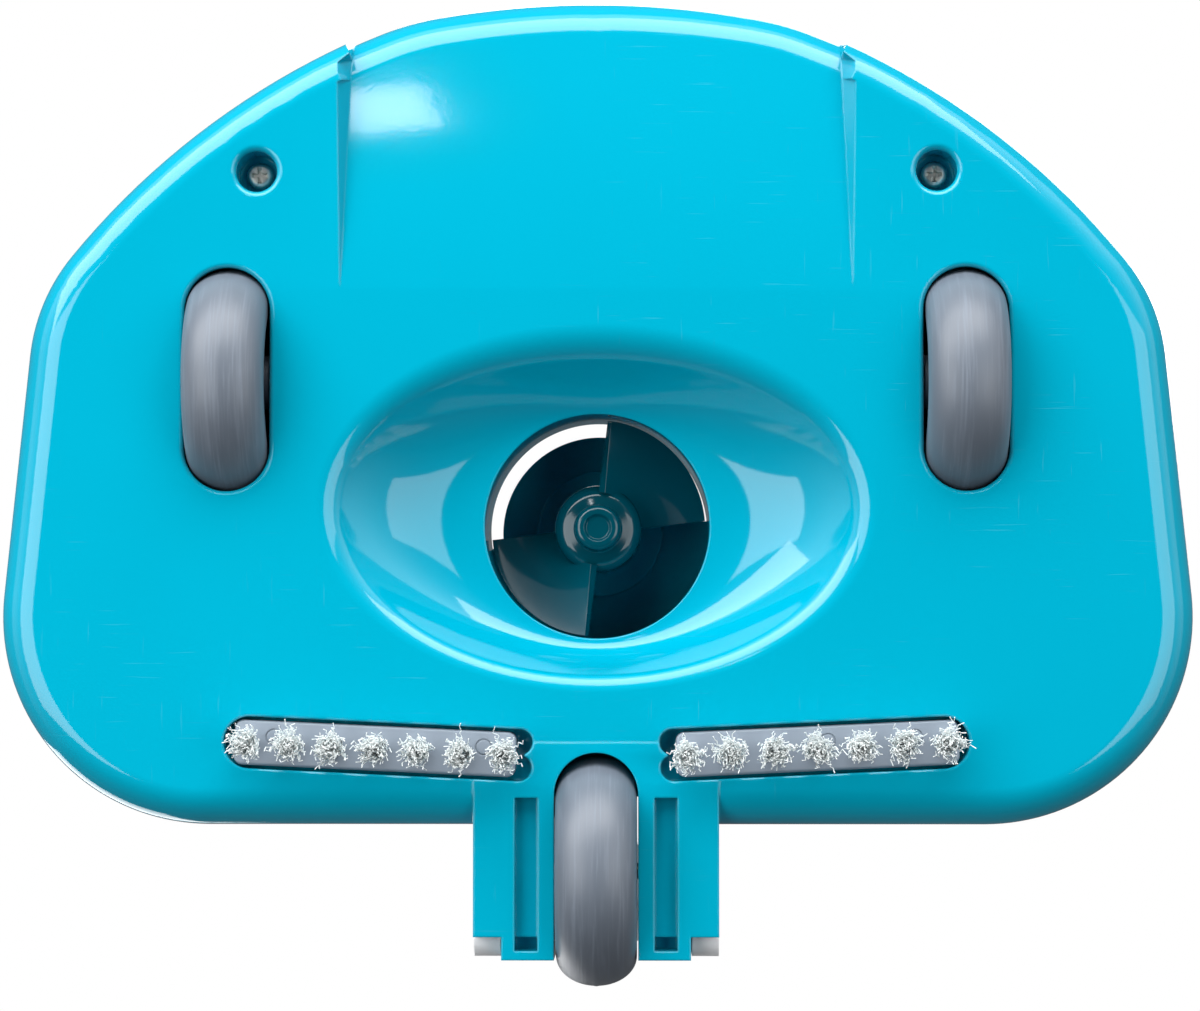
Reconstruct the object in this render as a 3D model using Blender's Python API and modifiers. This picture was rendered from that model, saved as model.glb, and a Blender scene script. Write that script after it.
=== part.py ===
"""Head of a battery leaf vacuum for a swimming pool, as separate pieces.

Frame: X is the head's width, the front lip points to -Y and +Z is up. Heights are measured from
the ground that the wheels stand on. Inside the design y = 0 is the front lip; the parent empty
then puts the middle of the head's length over the origin.
"""

import math

import bmesh
import bpy
from mathutils import Matrix, Vector

MM = 0.001
WELD = 0.00001
GAP = 0.3 * MM                      # between two pieces that touch
OVERCUT = 2 * MM                    # how far a cutter runs past what it cuts
STEP_ASIDE = 0.02 * MM              # keeps two joined faces out of one plane

# Overall shape of the body, seen from above
BODY_WIDTH = 303 * MM
BODY_LENGTH = 211.4 * MM
NOSE_RADIUS = 235 * MM
BROW_RADIUS = 72 * MM
HIP_RADIUS = 48 * MM
TAIL_RADIUS = 53 * MM
NOSE_ANGLE, BROW_ANGLE, SHOULDER_ANGLE, HIP_ANGLE, TAIL_ANGLE = 10.0, 22.0, 51.0, 84.3, 180.0
ARC_STEP, ARC_CHORD = 10.0, 17 * MM    # largest turn and length of one facet of the body's edge

# Heights and walls of the body
GROUND_CLEARANCE = 17 * MM
PARTING_HEIGHT = 42 * MM
WALL = 2.5 * MM
WHEEL_HEADROOM = 3.2 * MM            # between a front wheel and the cover over it
UNDER_FILLET = 9.5 * MM
DECK_FILLET = 14 * MM

# Ramp in the front of the underside
RAMP_WIDTH = 130 * MM
RAMP_LENGTH = 75.4 * MM
RAMP_RISE = 8 * MM
RAMP_FOOT_FLARE, RAMP_TOP_FLARE = 1.2 * MM, 3.0 * MM    # how far its side walls splay in front

# Bowl and throat
BOWL_WIDTH = 142.4 * MM
BOWL_LENGTH = 93.4 * MM
BOWL_DEPTH = 19 * MM
BOWL_LEAD = 4 * MM                  # the bowl's middle lies this far in front of the throat's
BOWL_RIM_REAR, BOWL_RIM_SIDE, BOWL_RIM_FRONT = 5 * MM, 8.5 * MM, 11 * MM
BOWL_RIM_ANGLE = 54.0
BOWL_HOLLOW, BOWL_HOLLOW_FRONT = 2.2, 1.3
THROAT_BORE = 58 * MM
THROAT_TO_TAIL = 76.2 * MM          # throat axis to the straight rear edge
THROAT_OVER_DECK = 10 * MM

# Wheels
WHEEL_DIAMETER = 58.3 * MM
WHEEL_WIDTH = 20.5 * MM
WHEEL_CROWN = 7.5 * MM
WHEEL_SIDE_GAP = 0.6 * MM
WHEEL_END_GAP = 1.2 * MM
WHEEL_SLOT_CLIP = 0.7 * MM          # the slot lies below the axle, so it is this much shorter
WHEEL_HUB_RADIUS, WHEEL_DISH, WHEEL_RIM = 7 * MM, 2.5 * MM, 3 * MM
FRONT_WHEEL_Y = 98.6 * MM
WHEEL_LAND = 22.5 * MM              # from the bowl's side to the front wheel's middle
REAR_WHEEL_PAST_TAIL = 12 * MM
AXLE_DIAMETER = 4 * MM
AXLE_BEARING_WALL = 3 * MM
REAR_AXLE_END = 11 * MM             # into each arm
SLOT_RIM = 1.2 * MM

# Brushes
BRUSH_LENGTH = 72 * MM
BRUSH_WIDTH = 11.4 * MM
BRUSH_CORNER = 2.2 * MM
BRUSH_THICK = 6 * MM
BRUSH_SINK = 0.8 * MM
BRUSH_SIDE_GAP = 0.85 * MM
BRUSH_END_GAP = 2.6 * MM
TONGUE = 0.6 * MM                   # width of the tongue at a slot's inner end
BRUSH_X = 55.4 * MM
BRUSH_TO_TAIL = 19.4 * MM
BRUSH_TILT = 2.7                    # degrees; the outer ends lie further forward
TUFTS = 7
TUFT_PITCH = 10.8 * MM
TUFT_ROOT = 4 * MM
TUFT_FLARE = 9.2 * MM
TUFT_OFF_GROUND = 1.5 * MM
TUFT_HOLE_DEPTH = 3 * MM

# Rear arms
ARM_SPAN = 61.9 * MM
ARM_PAST_TAIL = 33.7 * MM
ARM_CORNER = 1 * MM
ARM_CORE_WIDTH, ARM_CORE_LENGTH, ARM_CORE_DEPTH = 5.7 * MM, 38.4 * MM, 3.5 * MM
ARM_CORE_X = 17.6 * MM
ARM_CORE_END = 2.3 * MM             # land behind the core
ARM_POCKET_LENGTH, ARM_POCKET_DEPTH = 3.3 * MM, 7 * MM

# Yoke for the pole
YOKE_EYE_RADIUS = 5.5 * MM
YOKE_EYE_WIDTH = 6.8 * MM
YOKE_PIVOT_HEIGHT = 27.5 * MM
YOKE_PIN_DIAMETER = 4 * MM
YOKE_WHEEL_GAP = 2.5 * MM
LEG_ROOM = 2 * MM                   # in front of the yoke's legs
YOKE_BRIDGE_THICK = 9 * MM
YOKE_BRIDGE_LENGTH = 24 * MM
SPIGOT_FORWARD = 8 * MM             # the pole's axis lies this far in front of the pins
SPIGOT_DIAMETER = 28.6 * MM
SPIGOT_WALL = 2.6 * MM
SPIGOT_LENGTH = 68 * MM
CLIP_BUTTON_DIAMETER = 7 * MM
CLIP_BUTTON_PROUD = 4.2 * MM
CLIP_HEIGHT = 48 * MM               # above the bridge

# Screws
SCREW_HEAD, SCREW_HEAD_THICK, SCREW_SHANK = 6.7 * MM, 2.4 * MM, 3.2 * MM
UNDER_SCREW_X, UNDER_SCREW_Y = 86.4 * MM, 45.6 * MM
UNDER_SCREW_LENGTH = 20 * MM
COUNTERBORE = 10.4 * MM
COUNTERBORE_DEPTH = 11 * MM
COUNTERBORE_RIM = 1.6 * MM
BOSS_WALL = 2.4 * MM
LID_SCREW_LENGTH = 12 * MM
LID_SCREW_INSET = 5 * MM

# Impeller and motor
IMPELLER_TIP_GAP = 1.2 * MM
IMPELLER_BLADES = 2
HUB_DIAMETER = 23 * MM
HUB_NOSE_HEIGHT = 45 * MM
BLADE_LEAD_HEIGHT, BLADE_TRAIL_HEIGHT = 51 * MM, 66 * MM
BLADE_THICK = 2.4 * MM
BLADE_LEAD_ANGLE, BLADE_SWEEP = -84.0, 78.0
SHAFT_DIAMETER = 3.2 * MM
MOTOR_DIAMETER, MOTOR_LENGTH = 35.8 * MM, 38 * MM
MOTOR_BEARING_RADIUS, MOTOR_BEARING_RISE, MOTOR_EDGE = 5 * MM, 2 * MM, 1 * MM
SHAFT_GRIP = 3 * MM                 # length of the shaft inside the motor
SHAFT_SEAL_RADIUS = 5.7 * MM
SHAFT_FROM_NOSE = 15.5 * MM

# Outlet ring, motor cup and battery tub
RING_BORE = 78 * MM
RING_WALL = 3 * MM
RING_OVER_DECK = 42 * MM
RING_BEAD = 2.2 * MM
RING_BEAD_DEPTH = 4 * MM
FLANGE_FILLET = 2 * MM
FLANGE_REACH = 10.5 * MM
FLANGE_THICK = 3.2 * MM
CUP_DIAMETER = 53 * MM
CUP_WALL = 3 * MM
CUP_BASE_OVER_DECK, CUP_RIM_OVER_DECK, CAP_OVER_DECK = 26 * MM, 48 * MM, 76 * MM
CUP_BOSS_DIAMETER, CUP_BOSS_DROP = 34 * MM, 3 * MM
CUP_FLOOR = 3.5 * MM
SHELF_THICK = 8 * MM
SHELF_FRONT_LEFT, SHELF_FRONT_RIGHT = 4 * MM, -3.5 * MM    # shelf's front, behind the throat's axis
CAP_ROUND = 12 * MM
CAP_FLUTES, FLUTE_RADIUS, FLUTE_OUT, FLUTE_FOOT = 9, 2.2 * MM, 1.2 * MM, 3 * MM
SEAL_GROOVE_HALF = 1.05 * MM
SEAL_SQUEEZE = 0.4 * MM
SEAL_THICK = 1.8 * MM
TUB_WIDTH = 164 * MM
TUB_ROOM_LENGTH, TUB_ROOM_HEIGHT = 7.8 * MM, 14.8 * MM    # of the tub past its cells
TUB_CORNER = 7 * MM
TUB_NECK = 40 * MM
DUCT_DIAMETER = 5 * MM
LID_THICK = 3 * MM
GASKET_THICK = 1 * MM
CELL_DIAMETER, CELL_LENGTH, CELL_SPACING = 18.2 * MM, 65 * MM, 67 * MM
BOARD_SIZE = (60 * MM, 16 * MM, 1.6 * MM)
BOARD_OVER_CELLS = 1.8 * MM
SWITCH_SIZE, SWITCH_HEIGHT, SWITCH_STEM, SWITCH_STEM_HEIGHT = 12 * MM, 3 * MM, 5 * MM, 1.6 * MM
BUTTON_DIAMETER, BUTTON_PROUD = 16 * MM, 2.4 * MM
BUTTON_FLANGE, BUTTON_FLANGE_THICK = 1.2 * MM, 1.5 * MM
JACK_DIAMETER, JACK_LENGTH, JACK_BORE = 7.2 * MM, 11 * MM, 5.5 * MM
PORT_CAP_DIAMETER, PORT_CAP_THICK = 13 * MM, 2.4 * MM
PORT_PIN_DIAMETER, PORT_PIN_LENGTH = 1.8 * MM, 11 * MM
PORT_HINGE_RISE, PORT_HINGE_OUT = 8.5 * MM, 2 * MM
PORT_EAR_WIDTH, PORT_LUG_WIDTH = 2 * MM, 5 * MM
PORT_EAR_HALF, PORT_EAR_REACH = 1.8 * MM, 1.6 * MM     # round the hinge pin
LEAD_DIAMETER, LEAD_PITCH = 1.6 * MM, 2.2 * MM

# Derived places
DECK_HEIGHT = WHEEL_DIAMETER + WHEEL_HEADROOM + WALL
THROAT_TOP = DECK_HEIGHT + THROAT_OVER_DECK
RING_HEIGHT = DECK_HEIGHT + RING_OVER_DECK
CUP_BASE_HEIGHT = DECK_HEIGHT + CUP_BASE_OVER_DECK
CUP_RIM_HEIGHT = DECK_HEIGHT + CUP_RIM_OVER_DECK
CAP_HEIGHT = DECK_HEIGHT + CAP_OVER_DECK
TUB_LENGTH = CELL_DIAMETER + TUB_ROOM_LENGTH
TUB_TOP = DECK_HEIGHT + CELL_DIAMETER + TUB_ROOM_HEIGHT
THROAT_Y = BODY_LENGTH - THROAT_TO_TAIL
BOWL_Y = THROAT_Y - BOWL_LEAD
AXLE_HEIGHT = WHEEL_DIAMETER / 2
FRONT_WHEEL_X = BOWL_WIDTH / 2 + WHEEL_LAND
REAR_WHEEL_Y = BODY_LENGTH + REAR_WHEEL_PAST_TAIL
HEAD_LENGTH = REAR_WHEEL_Y + WHEEL_DIAMETER / 2
BRUSH_Y = BODY_LENGTH - BRUSH_TO_TAIL
BRUSH_FACE = GROUND_CLEARANCE + BRUSH_SINK
ARM_END_Y = BODY_LENGTH + ARM_PAST_TAIL
ARM_INNER_X = WHEEL_WIDTH / 2 + WHEEL_SIDE_GAP
YOKE_PIVOT_Y = ARM_END_Y - YOKE_EYE_RADIUS - GAP
YOKE_INNER_X = ARM_SPAN / 2 - YOKE_EYE_WIDTH
WHEEL_REACH_FROM_PIVOT = WHEEL_DIAMETER / 2 + math.hypot(YOKE_PIVOT_Y - REAR_WHEEL_Y,
                                                         YOKE_PIVOT_HEIGHT - AXLE_HEIGHT)
YOKE_BRIDGE_HEIGHT = YOKE_PIVOT_HEIGHT + WHEEL_REACH_FROM_PIVOT + YOKE_WHEEL_GAP
FLOOR_TOP = GROUND_CLEARANCE + WALL
WELL_HALF_WIDTH = WHEEL_WIDTH / 2 + WHEEL_SIDE_GAP
WELL_HALF_LENGTH = WHEEL_DIAMETER / 2 + WHEEL_END_GAP
DECK_SEAT = DECK_HEIGHT + GAP
RING_RADIUS = RING_BORE / 2 + RING_WALL
TUB_Y = THROAT_Y + RING_RADIUS + RING_BEAD + TUB_LENGTH / 2
TUB_FLOOR = DECK_SEAT + CUP_WALL
GASKET_BOTTOM = TUB_TOP + GAP
LID_BOTTOM = GASKET_BOTTOM + GASKET_THICK + GAP
LID_TOP = LID_BOTTOM + LID_THICK
CELL_HEIGHT = TUB_FLOOR + GAP + CELL_DIAMETER / 2
BOARD_BOTTOM = CELL_HEIGHT + CELL_DIAMETER / 2 + BOARD_OVER_CELLS
CUP_FLOOR_TOP = CUP_BASE_HEIGHT + CUP_FLOOR
MOTOR_BOTTOM = CUP_FLOOR_TOP + GAP
DUCT_HEIGHT = CUP_BASE_HEIGHT + SHELF_THICK / 2 + 0.5 * MM

COLOURS = {
    "turquoise": ((0.0, 0.50, 0.72), 0.25, 0.0),
    "white": ((0.78, 0.78, 0.80), 0.35, 0.0),
    "grey": ((0.24, 0.27, 0.32), 0.5, 0.0),
    "plate_grey": ((0.20, 0.24, 0.28), 0.45, 0.0),
    "bristle": ((0.75, 0.80, 0.80), 0.4, 0.0),
    "steel": ((0.60, 0.60, 0.58), 0.3, 1.0),
    "rubber": ((0.02, 0.02, 0.02), 0.8, 0.0),
    "cell": ((0.05, 0.18, 0.45), 0.4, 0.0),
    "board": ((0.02, 0.20, 0.08), 0.5, 0.0),
    "dark": ((0.03, 0.03, 0.035), 0.5, 0.0),
    "red": ((0.6, 0.02, 0.02), 0.5, 0.0),
}


# ---------------------------------------------------------------- helpers

def clear_scene():
    for item in list(bpy.data.objects):
        bpy.data.objects.remove(item)


def make_collection(name):
    collection = bpy.data.collections.new(name)
    bpy.context.scene.collection.children.link(collection)
    return collection


def make_material(name):
    colour, roughness, metallic = COLOURS[name]
    material = bpy.data.materials.new(name)
    material.use_nodes = True
    shader = material.node_tree.nodes["Principled BSDF"]
    shader.inputs["Base Color"].default_value = (*colour, 1.0)
    shader.inputs["Roughness"].default_value = roughness
    shader.inputs["Metallic"].default_value = metallic
    return material


def add_object(name, mesh, place=(0, 0, 0), parent=None):
    """A new object in the shared frame; cutters and parts are sorted later by finish()."""
    item = bpy.data.objects.new(name, mesh)
    item.location = place
    item.parent = parent or ROOT
    CUTTERS.objects.link(item)
    item.hide_render = True
    item.display_type = "WIRE"
    return item


def finish(item, colour, smooth=True):
    """Turns a worked shape into one of the head's pieces."""
    CUTTERS.objects.unlink(item)
    PARTS.objects.link(item)
    item.hide_render = False
    item.display_type = "TEXTURED"
    item.data.materials.clear()
    item.data.materials.append(MATERIALS[colour])
    if smooth:
        item.data.shade_smooth()
        item.data.set_sharp_from_angle(angle=math.radians(35))
    return item


def mesh_from(bm, name):
    bmesh.ops.recalc_face_normals(bm, faces=bm.faces)
    mesh = bpy.data.meshes.new(name)
    bm.to_mesh(mesh)
    bm.free()
    return mesh


def box(name, low, high, place=(0, 0, 0), turn=0.0, parent=None):
    """A block between two corners, turned by `turn` degrees about the vertical at its place."""
    low, high = Vector(low), Vector(high)
    bm = bmesh.new()
    matrix = Matrix.Translation((low + high) / 2) @ Matrix.Diagonal((*(high - low), 1.0))
    bmesh.ops.create_cube(bm, size=1.0, matrix=matrix)
    item = add_object(name, mesh_from(bm, name), place, parent)
    item.rotation_euler.z = math.radians(turn)
    return item


def cylinder(name, radius, low, high, place=(0, 0, 0), axis="Z", sides=32, parent=None, tip=None):
    """A round bar along an axis, from `low` to `high` on it; `tip` is the radius at `high`."""
    turn = {"Z": Matrix.Identity(4),
            "X": Matrix.Rotation(math.pi / 2, 4, "Y"),
            "Y": Matrix.Rotation(-math.pi / 2, 4, "X")}[axis]
    bm = bmesh.new()
    shift = Matrix.Translation((0, 0, (low + high) / 2))
    bmesh.ops.create_cone(bm, cap_ends=True, segments=sides, radius1=radius,
                          radius2=radius if tip is None else tip, depth=high - low,
                          matrix=turn @ shift)
    return add_object(name, mesh_from(bm, name), place, parent)


def turned(name, profile, steps, place=(0, 0, 0), axis="Z", parent=None, closed=False):
    """A turned piece: (radius, height) points down the outer side, spun about the axis."""
    mesh = bpy.data.meshes.new(name)
    points = [(radius, 0.0, height) for radius, height in profile]
    edges = [(i, i + 1) for i in range(len(points) - 1)]
    if closed:
        edges.append((len(points) - 1, 0))
    mesh.from_pydata(points, edges, [])
    item = add_object(name, mesh, place, parent)
    if axis == "X":
        item.rotation_euler.y = math.pi / 2
    screw = item.modifiers.new("turn", "SCREW")
    screw.steps = screw.render_steps = steps
    screw.use_merge_vertices = True
    screw.merge_threshold = WELD
    return item


def slab(name, outline, bottom, top, bottom_fillet=0.0, top_fillet=0.0, steps=3, place=(0, 0, 0),
         turn=0.0, parent=None):
    """A flat outline raised from `bottom` to `top`, with rounded rims."""
    bm = bmesh.new()
    face = bm.faces.new([bm.verts.new((x, y, bottom)) for x, y in outline])
    raised = bmesh.ops.extrude_face_region(bm, geom=[face])
    lifted = [v for v in raised["geom"] if isinstance(v, bmesh.types.BMVert)]
    bmesh.ops.translate(bm, verts=lifted, vec=(0, 0, top - bottom))
    for height, fillet in ((bottom, bottom_fillet), (top, top_fillet)):
        if fillet:
            rim = [e for e in bm.edges if all(abs(v.co.z - height) < WELD for v in e.verts)]
            bmesh.ops.bevel(bm, geom=rim, offset=fillet, offset_type="OFFSET", segments=steps,
                            profile=0.5, affect="EDGES", clamp_overlap=True)
    item = add_object(name, mesh_from(bm, name), place, parent)
    item.rotation_euler.z = math.radians(turn)
    return item


def loft(name, rings, place=(0, 0, 0), turn=0.0):
    """A solid through rings of equally many points, with flat ends."""
    bm = bmesh.new()
    rows = [[bm.verts.new(point) for point in ring] for ring in rings]
    for lower, upper in zip(rows, rows[1:]):
        for i in range(len(lower)):
            j = (i + 1) % len(lower)
            bm.faces.new((lower[i], lower[j], upper[j], upper[i]))
    bm.faces.new(rows[0])
    bm.faces.new(rows[-1])
    bmesh.ops.triangulate(bm, faces=[face for face in bm.faces if len(face.verts) == 4])
    item = add_object(name, mesh_from(bm, name), place)
    item.rotation_euler.z = math.radians(turn)
    return item


def combine(target, tool, operation):
    modifier = target.modifiers.new(tool.name, "BOOLEAN")
    modifier.operation = operation
    modifier.solver = "EXACT"
    modifier.object = tool


def cut(target, *tools):
    for tool in tools:
        combine(target, tool, "DIFFERENCE")


def join(target, *tools):
    for tool in tools:
        combine(target, tool, "UNION")


def arc(centre, radius, start, end, steps):
    """Points on a circle from one angle to another, in degrees, both ends included."""
    angles = [math.radians(start + (end - start) * i / steps) for i in range(steps + 1)]
    return [(centre[0] + radius * math.cos(a), centre[1] + radius * math.sin(a)) for a in angles]


def rounded_rectangle(width, length, radius, steps=3):
    x, y = width / 2 - radius, length / 2 - radius
    corners = ((x, y, 0), (-x, y, 90), (-x, -y, 180), (x, -y, 270))
    return [p for cx, cy, a in corners for p in arc((cx, cy), radius, a, a + 90, steps)]


def obround(half_width, half_length, steps=6):
    """A slot with round ends, long in y."""
    reach = half_length - half_width
    return (arc((0, reach), half_width, 0, 180, steps)
            + arc((0, -reach), half_width, 180, 360, steps))


def flared_slot(name, outline_at, bottom, rim, top, place=(0, 0, 0), turn=0.0, steps=2):
    """A cutter whose mouth opens with a rounded rim; outline_at(grow) gives its outline."""
    levels = [(rim, bottom - OVERCUT)]
    for i in range(steps + 1):
        angle = math.radians(90 * i / steps)
        levels.append((rim * (1 - math.sin(angle)), bottom + rim * (1 - math.cos(angle))))
    levels.append((0.0, top))
    rings = [[(x, y, z) for x, y in outline_at(grow)] for grow, z in levels]
    return loft(name, rings, place, turn)


# ---------------------------------------------------------------- body outline

def shoulder_and_flank():
    """Radius of the front shoulders and length of the flanks that give the width and length."""
    nose, brow, shoulder, hip, tail = (math.radians(a) for a in (
        NOSE_ANGLE, BROW_ANGLE, SHOULDER_ANGLE, HIP_ANGLE, TAIL_ANGLE))
    sin, cos = math.sin, math.cos
    x_fixed = (NOSE_RADIUS * sin(nose) + BROW_RADIUS * (sin(brow) - sin(nose))
               + HIP_RADIUS * (sin(hip) - sin(shoulder)) + TAIL_RADIUS * (1 - sin(hip)))
    y_fixed = (NOSE_RADIUS * (1 - cos(nose)) + BROW_RADIUS * (cos(nose) - cos(brow))
               + HIP_RADIUS * (cos(shoulder) - cos(hip)) + TAIL_RADIUS * (cos(hip) - cos(tail)))
    x_left, y_left = BODY_WIDTH / 2 - x_fixed, BODY_LENGTH - y_fixed
    a, b = sin(shoulder) - sin(brow), cos(hip)
    c, d = cos(brow) - cos(shoulder), sin(hip)
    spread = a * d - b * c
    return (x_left * d - b * y_left) / spread, (a * y_left - c * x_left) / spread


def body_outline(inset=0.0):
    """The body's edge seen from above, moved inwards by `inset`, counter-clockwise."""
    shoulder_radius, flank = shoulder_and_flank()
    arcs = ((NOSE_RADIUS, 0.0, NOSE_ANGLE), (BROW_RADIUS, NOSE_ANGLE, BROW_ANGLE),
            (shoulder_radius, BROW_ANGLE, SHOULDER_ANGLE), (HIP_RADIUS, SHOULDER_ANGLE, HIP_ANGLE),
            (TAIL_RADIUS, HIP_ANGLE, TAIL_ANGLE))
    x = y = 0.0
    edge = [(x, y, 0.0)]
    for radius, start, end in arcs:
        if radius == TAIL_RADIUS:
            heading = math.radians(start)
            x, y = x + flank * math.cos(heading), y + flank * math.sin(heading)
            edge.append((x, y, start))
        length = math.radians(end - start) * radius
        steps = math.ceil(max((end - start) / ARC_STEP, length / ARC_CHORD))
        for i in range(1, steps + 1):
            angle = start + (end - start) * i / steps
            a, b = math.radians(start), math.radians(angle)
            edge.append((x + radius * (math.sin(b) - math.sin(a)),
                         y + radius * (math.cos(a) - math.cos(b)), angle))
        x, y = edge[-1][:2]
    right = [(px - inset * math.sin(math.radians(angle)), py + inset * math.cos(math.radians(angle)))
             for px, py, angle in edge]
    left = [(-px, py) for px, py in reversed(right) if px > WELD]
    return right + left


def carve_ramp(mesh, rim_height, grow):
    """Raises the underside between two slanting lines, more towards the front, as a ramp."""
    half, end = RAMP_WIDTH / 2 + grow, RAMP_LENGTH + grow
    bm = bmesh.new()
    bm.from_mesh(mesh)

    def faces_in_front():
        return [f for f in bm.faces if f.calc_center_median().y < end]

    def split(faces, point, normal):
        geometry = faces + list({e for f in faces for e in f.edges})
        geometry += list({v for f in faces for v in f.verts})
        bmesh.ops.bisect_plane(bm, geom=geometry, dist=WELD, plane_co=point, plane_no=normal)

    split(bm.faces[:], (0, end, 0), (0, 1, 0))
    for side in (-1, 1):
        for flare in (RAMP_FOOT_FLARE, -RAMP_TOP_FLARE):
            split(faces_in_front(), (side * half, end, 0), (side * end, flare, 0))
    inner = RAMP_TOP_FLARE / end
    for vertex in bm.verts:
        x, y, z = vertex.co
        if y < end and z < rim_height + WELD and abs(x) < half - inner * (end - y) + WELD:
            vertex.co.z += RAMP_RISE * (1 - y / end)
    bmesh.ops.triangulate(bm, faces=[f for f in faces_in_front() if len(f.verts) < 9])
    bm.to_mesh(mesh)
    bm.free()


def body_volume(name, inset, bottom, top, fillet):
    """The body's lower volume with the front ramp taken out of it."""
    volume = slab(name, body_outline(inset), bottom, top, bottom_fillet=fillet)
    carve_ramp(volume.data, bottom + fillet, inset)
    return volume


# ---------------------------------------------------------------- bowl and throat

def bowl_rings(grow=0.0, sides=32, rim_steps=2, hollow_steps=4):
    """Rings from the bowl's oval rim up to the round throat, moved outwards by `grow`."""
    rings = []
    angles = [2 * math.pi * i / sides for i in range(sides)]
    bore = THROAT_BORE / 2 + grow

    def edge(angle, drop):
        return Vector(((BOWL_WIDTH / 2 + grow - drop) * math.cos(angle),
                       BOWL_Y + (BOWL_LENGTH / 2 + grow - drop) * math.sin(angle)))

    def frontness(angle):
        return max(0.0, -math.sin(angle)) ** 2

    for step in range(rim_steps + 1):
        turn = math.radians(BOWL_RIM_ANGLE) * step / rim_steps
        ring = []
        for angle in angles:
            rim = (BOWL_RIM_REAR + (BOWL_RIM_SIDE - BOWL_RIM_REAR) * math.cos(angle) ** 2
                   + (BOWL_RIM_FRONT - BOWL_RIM_REAR) * frontness(angle))
            point = edge(angle, rim * math.sin(turn))
            ring.append((point.x, point.y, GROUND_CLEARANCE + grow + rim * (1 - math.cos(turn))))
        rings.append(ring)
    for step in range(1, hollow_steps + 1):
        share = step / hollow_steps
        ring = []
        for angle, start in zip(angles, rings[rim_steps]):
            power = BOWL_HOLLOW + (BOWL_HOLLOW_FRONT - BOWL_HOLLOW) * frontness(angle)
            end = Vector((bore * math.cos(angle), THROAT_Y + bore * math.sin(angle)))
            top = GROUND_CLEARANCE + BOWL_DEPTH + grow
            plan = Vector(start[:2]).lerp(end, share)
            ring.append((plan.x, plan.y, start[2] + (top - start[2]) * (1 - (1 - share) ** power)))
        rings.append(ring)
    return rings


def at_height(ring, height):
    return [(x, y, height) for x, y, _ in ring]


def bowl_backing():
    rings = bowl_rings(WALL)
    return loft("bowl_backing", [at_height(rings[0], GROUND_CLEARANCE + WALL / 2)] + rings
                + [at_height(rings[-1], THROAT_TOP)])


def bowl_cavity():
    rings = bowl_rings()
    return loft("bowl_cavity", [at_height(rings[0], GROUND_CLEARANCE - OVERCUT)] + rings
                + [at_height(rings[-1], THROAT_TOP + OVERCUT)])


# ---------------------------------------------------------------- lower housing

def wheel_well(name, x, y):
    """The walls round a front wheel that carry its axle."""
    outer = WELL_HALF_WIDTH + AXLE_BEARING_WALL
    return box(name, (-outer, -WELL_HALF_LENGTH - WALL, FLOOR_TOP - WALL / 2),
               (outer, WELL_HALF_LENGTH + WALL, PARTING_HEIGHT - WALL), (x, y, 0))


def wheel_slot(name, x, y):
    half_width, half_length = WELL_HALF_WIDTH, WHEEL_DIAMETER / 2 - WHEEL_SLOT_CLIP
    return flared_slot(name, lambda grow: obround(half_width + grow, half_length + grow),
                       GROUND_CLEARANCE, SLOT_RIM, FLOOR_TOP + WALL, (x, y, 0))


def well_hollow(name, x, y):
    return box(name, (-WELL_HALF_WIDTH, -WELL_HALF_LENGTH, FLOOR_TOP),
               (WELL_HALF_WIDTH, WELL_HALF_LENGTH, PARTING_HEIGHT + OVERCUT), (x, y, 0))


def brush_slot_outline(side):
    """Round at the outer end, two small lobes with a tongue between them at the inner end."""
    half_width = BRUSH_WIDTH / 2 + BRUSH_SIDE_GAP
    lobe = half_width / 2
    outer = BRUSH_LENGTH / 2 + BRUSH_END_GAP - half_width
    inner = -BRUSH_LENGTH / 2

    def outline(grow):
        radius = lobe + grow
        end = 180 + math.degrees(math.asin((lobe - TONGUE / 2) / radius))
        points = arc((outer, 0), half_width + grow, -90, 90, 10)
        points += arc((inner, lobe), radius, 90, end, 6)
        points += arc((inner, -lobe), radius, 360 - end, 270, 6)
        return points if side > 0 else [(-x, y) for x, y in reversed(points)]
    return outline


def brush_place(side):
    return (BRUSH_X * side, BRUSH_Y, 0), -BRUSH_TILT * side


def brush_pocket(side):
    name = "left" if side < 0 else "right"
    place, turn = brush_place(side)
    depth = BRUSH_FACE + BRUSH_THICK + GAP
    half_x = BRUSH_LENGTH / 2 + BRUSH_END_GAP + 2 * WALL
    half_y = BRUSH_WIDTH / 2 + BRUSH_SIDE_GAP + WALL
    backing = box("brush_backing_" + name, (-half_x, -half_y, FLOOR_TOP - WALL / 2),
                  (half_x, half_y, depth + WALL), place, turn)
    mouth = flared_slot("brush_slot_" + name, brush_slot_outline(side), GROUND_CLEARANCE,
                        SLOT_RIM / 2, depth, place, turn)
    return backing, mouth


def arm_block():
    """The two rear arms as one block, before the wheel is cut out between them."""
    half = ARM_SPAN / 2
    front = REAR_WHEEL_Y - WELL_HALF_LENGTH - WALL
    outline = [(-half, front), (half, front)]
    outline += arc((half - ARM_CORNER, ARM_END_Y - ARM_CORNER), ARM_CORNER, 0, 90, 2)
    outline += arc((-half + ARM_CORNER, ARM_END_Y - ARM_CORNER), ARM_CORNER, 90, 180, 2)
    return slab("arm_block", outline, GROUND_CLEARANCE + STEP_ASIDE, PARTING_HEIGHT)


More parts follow.
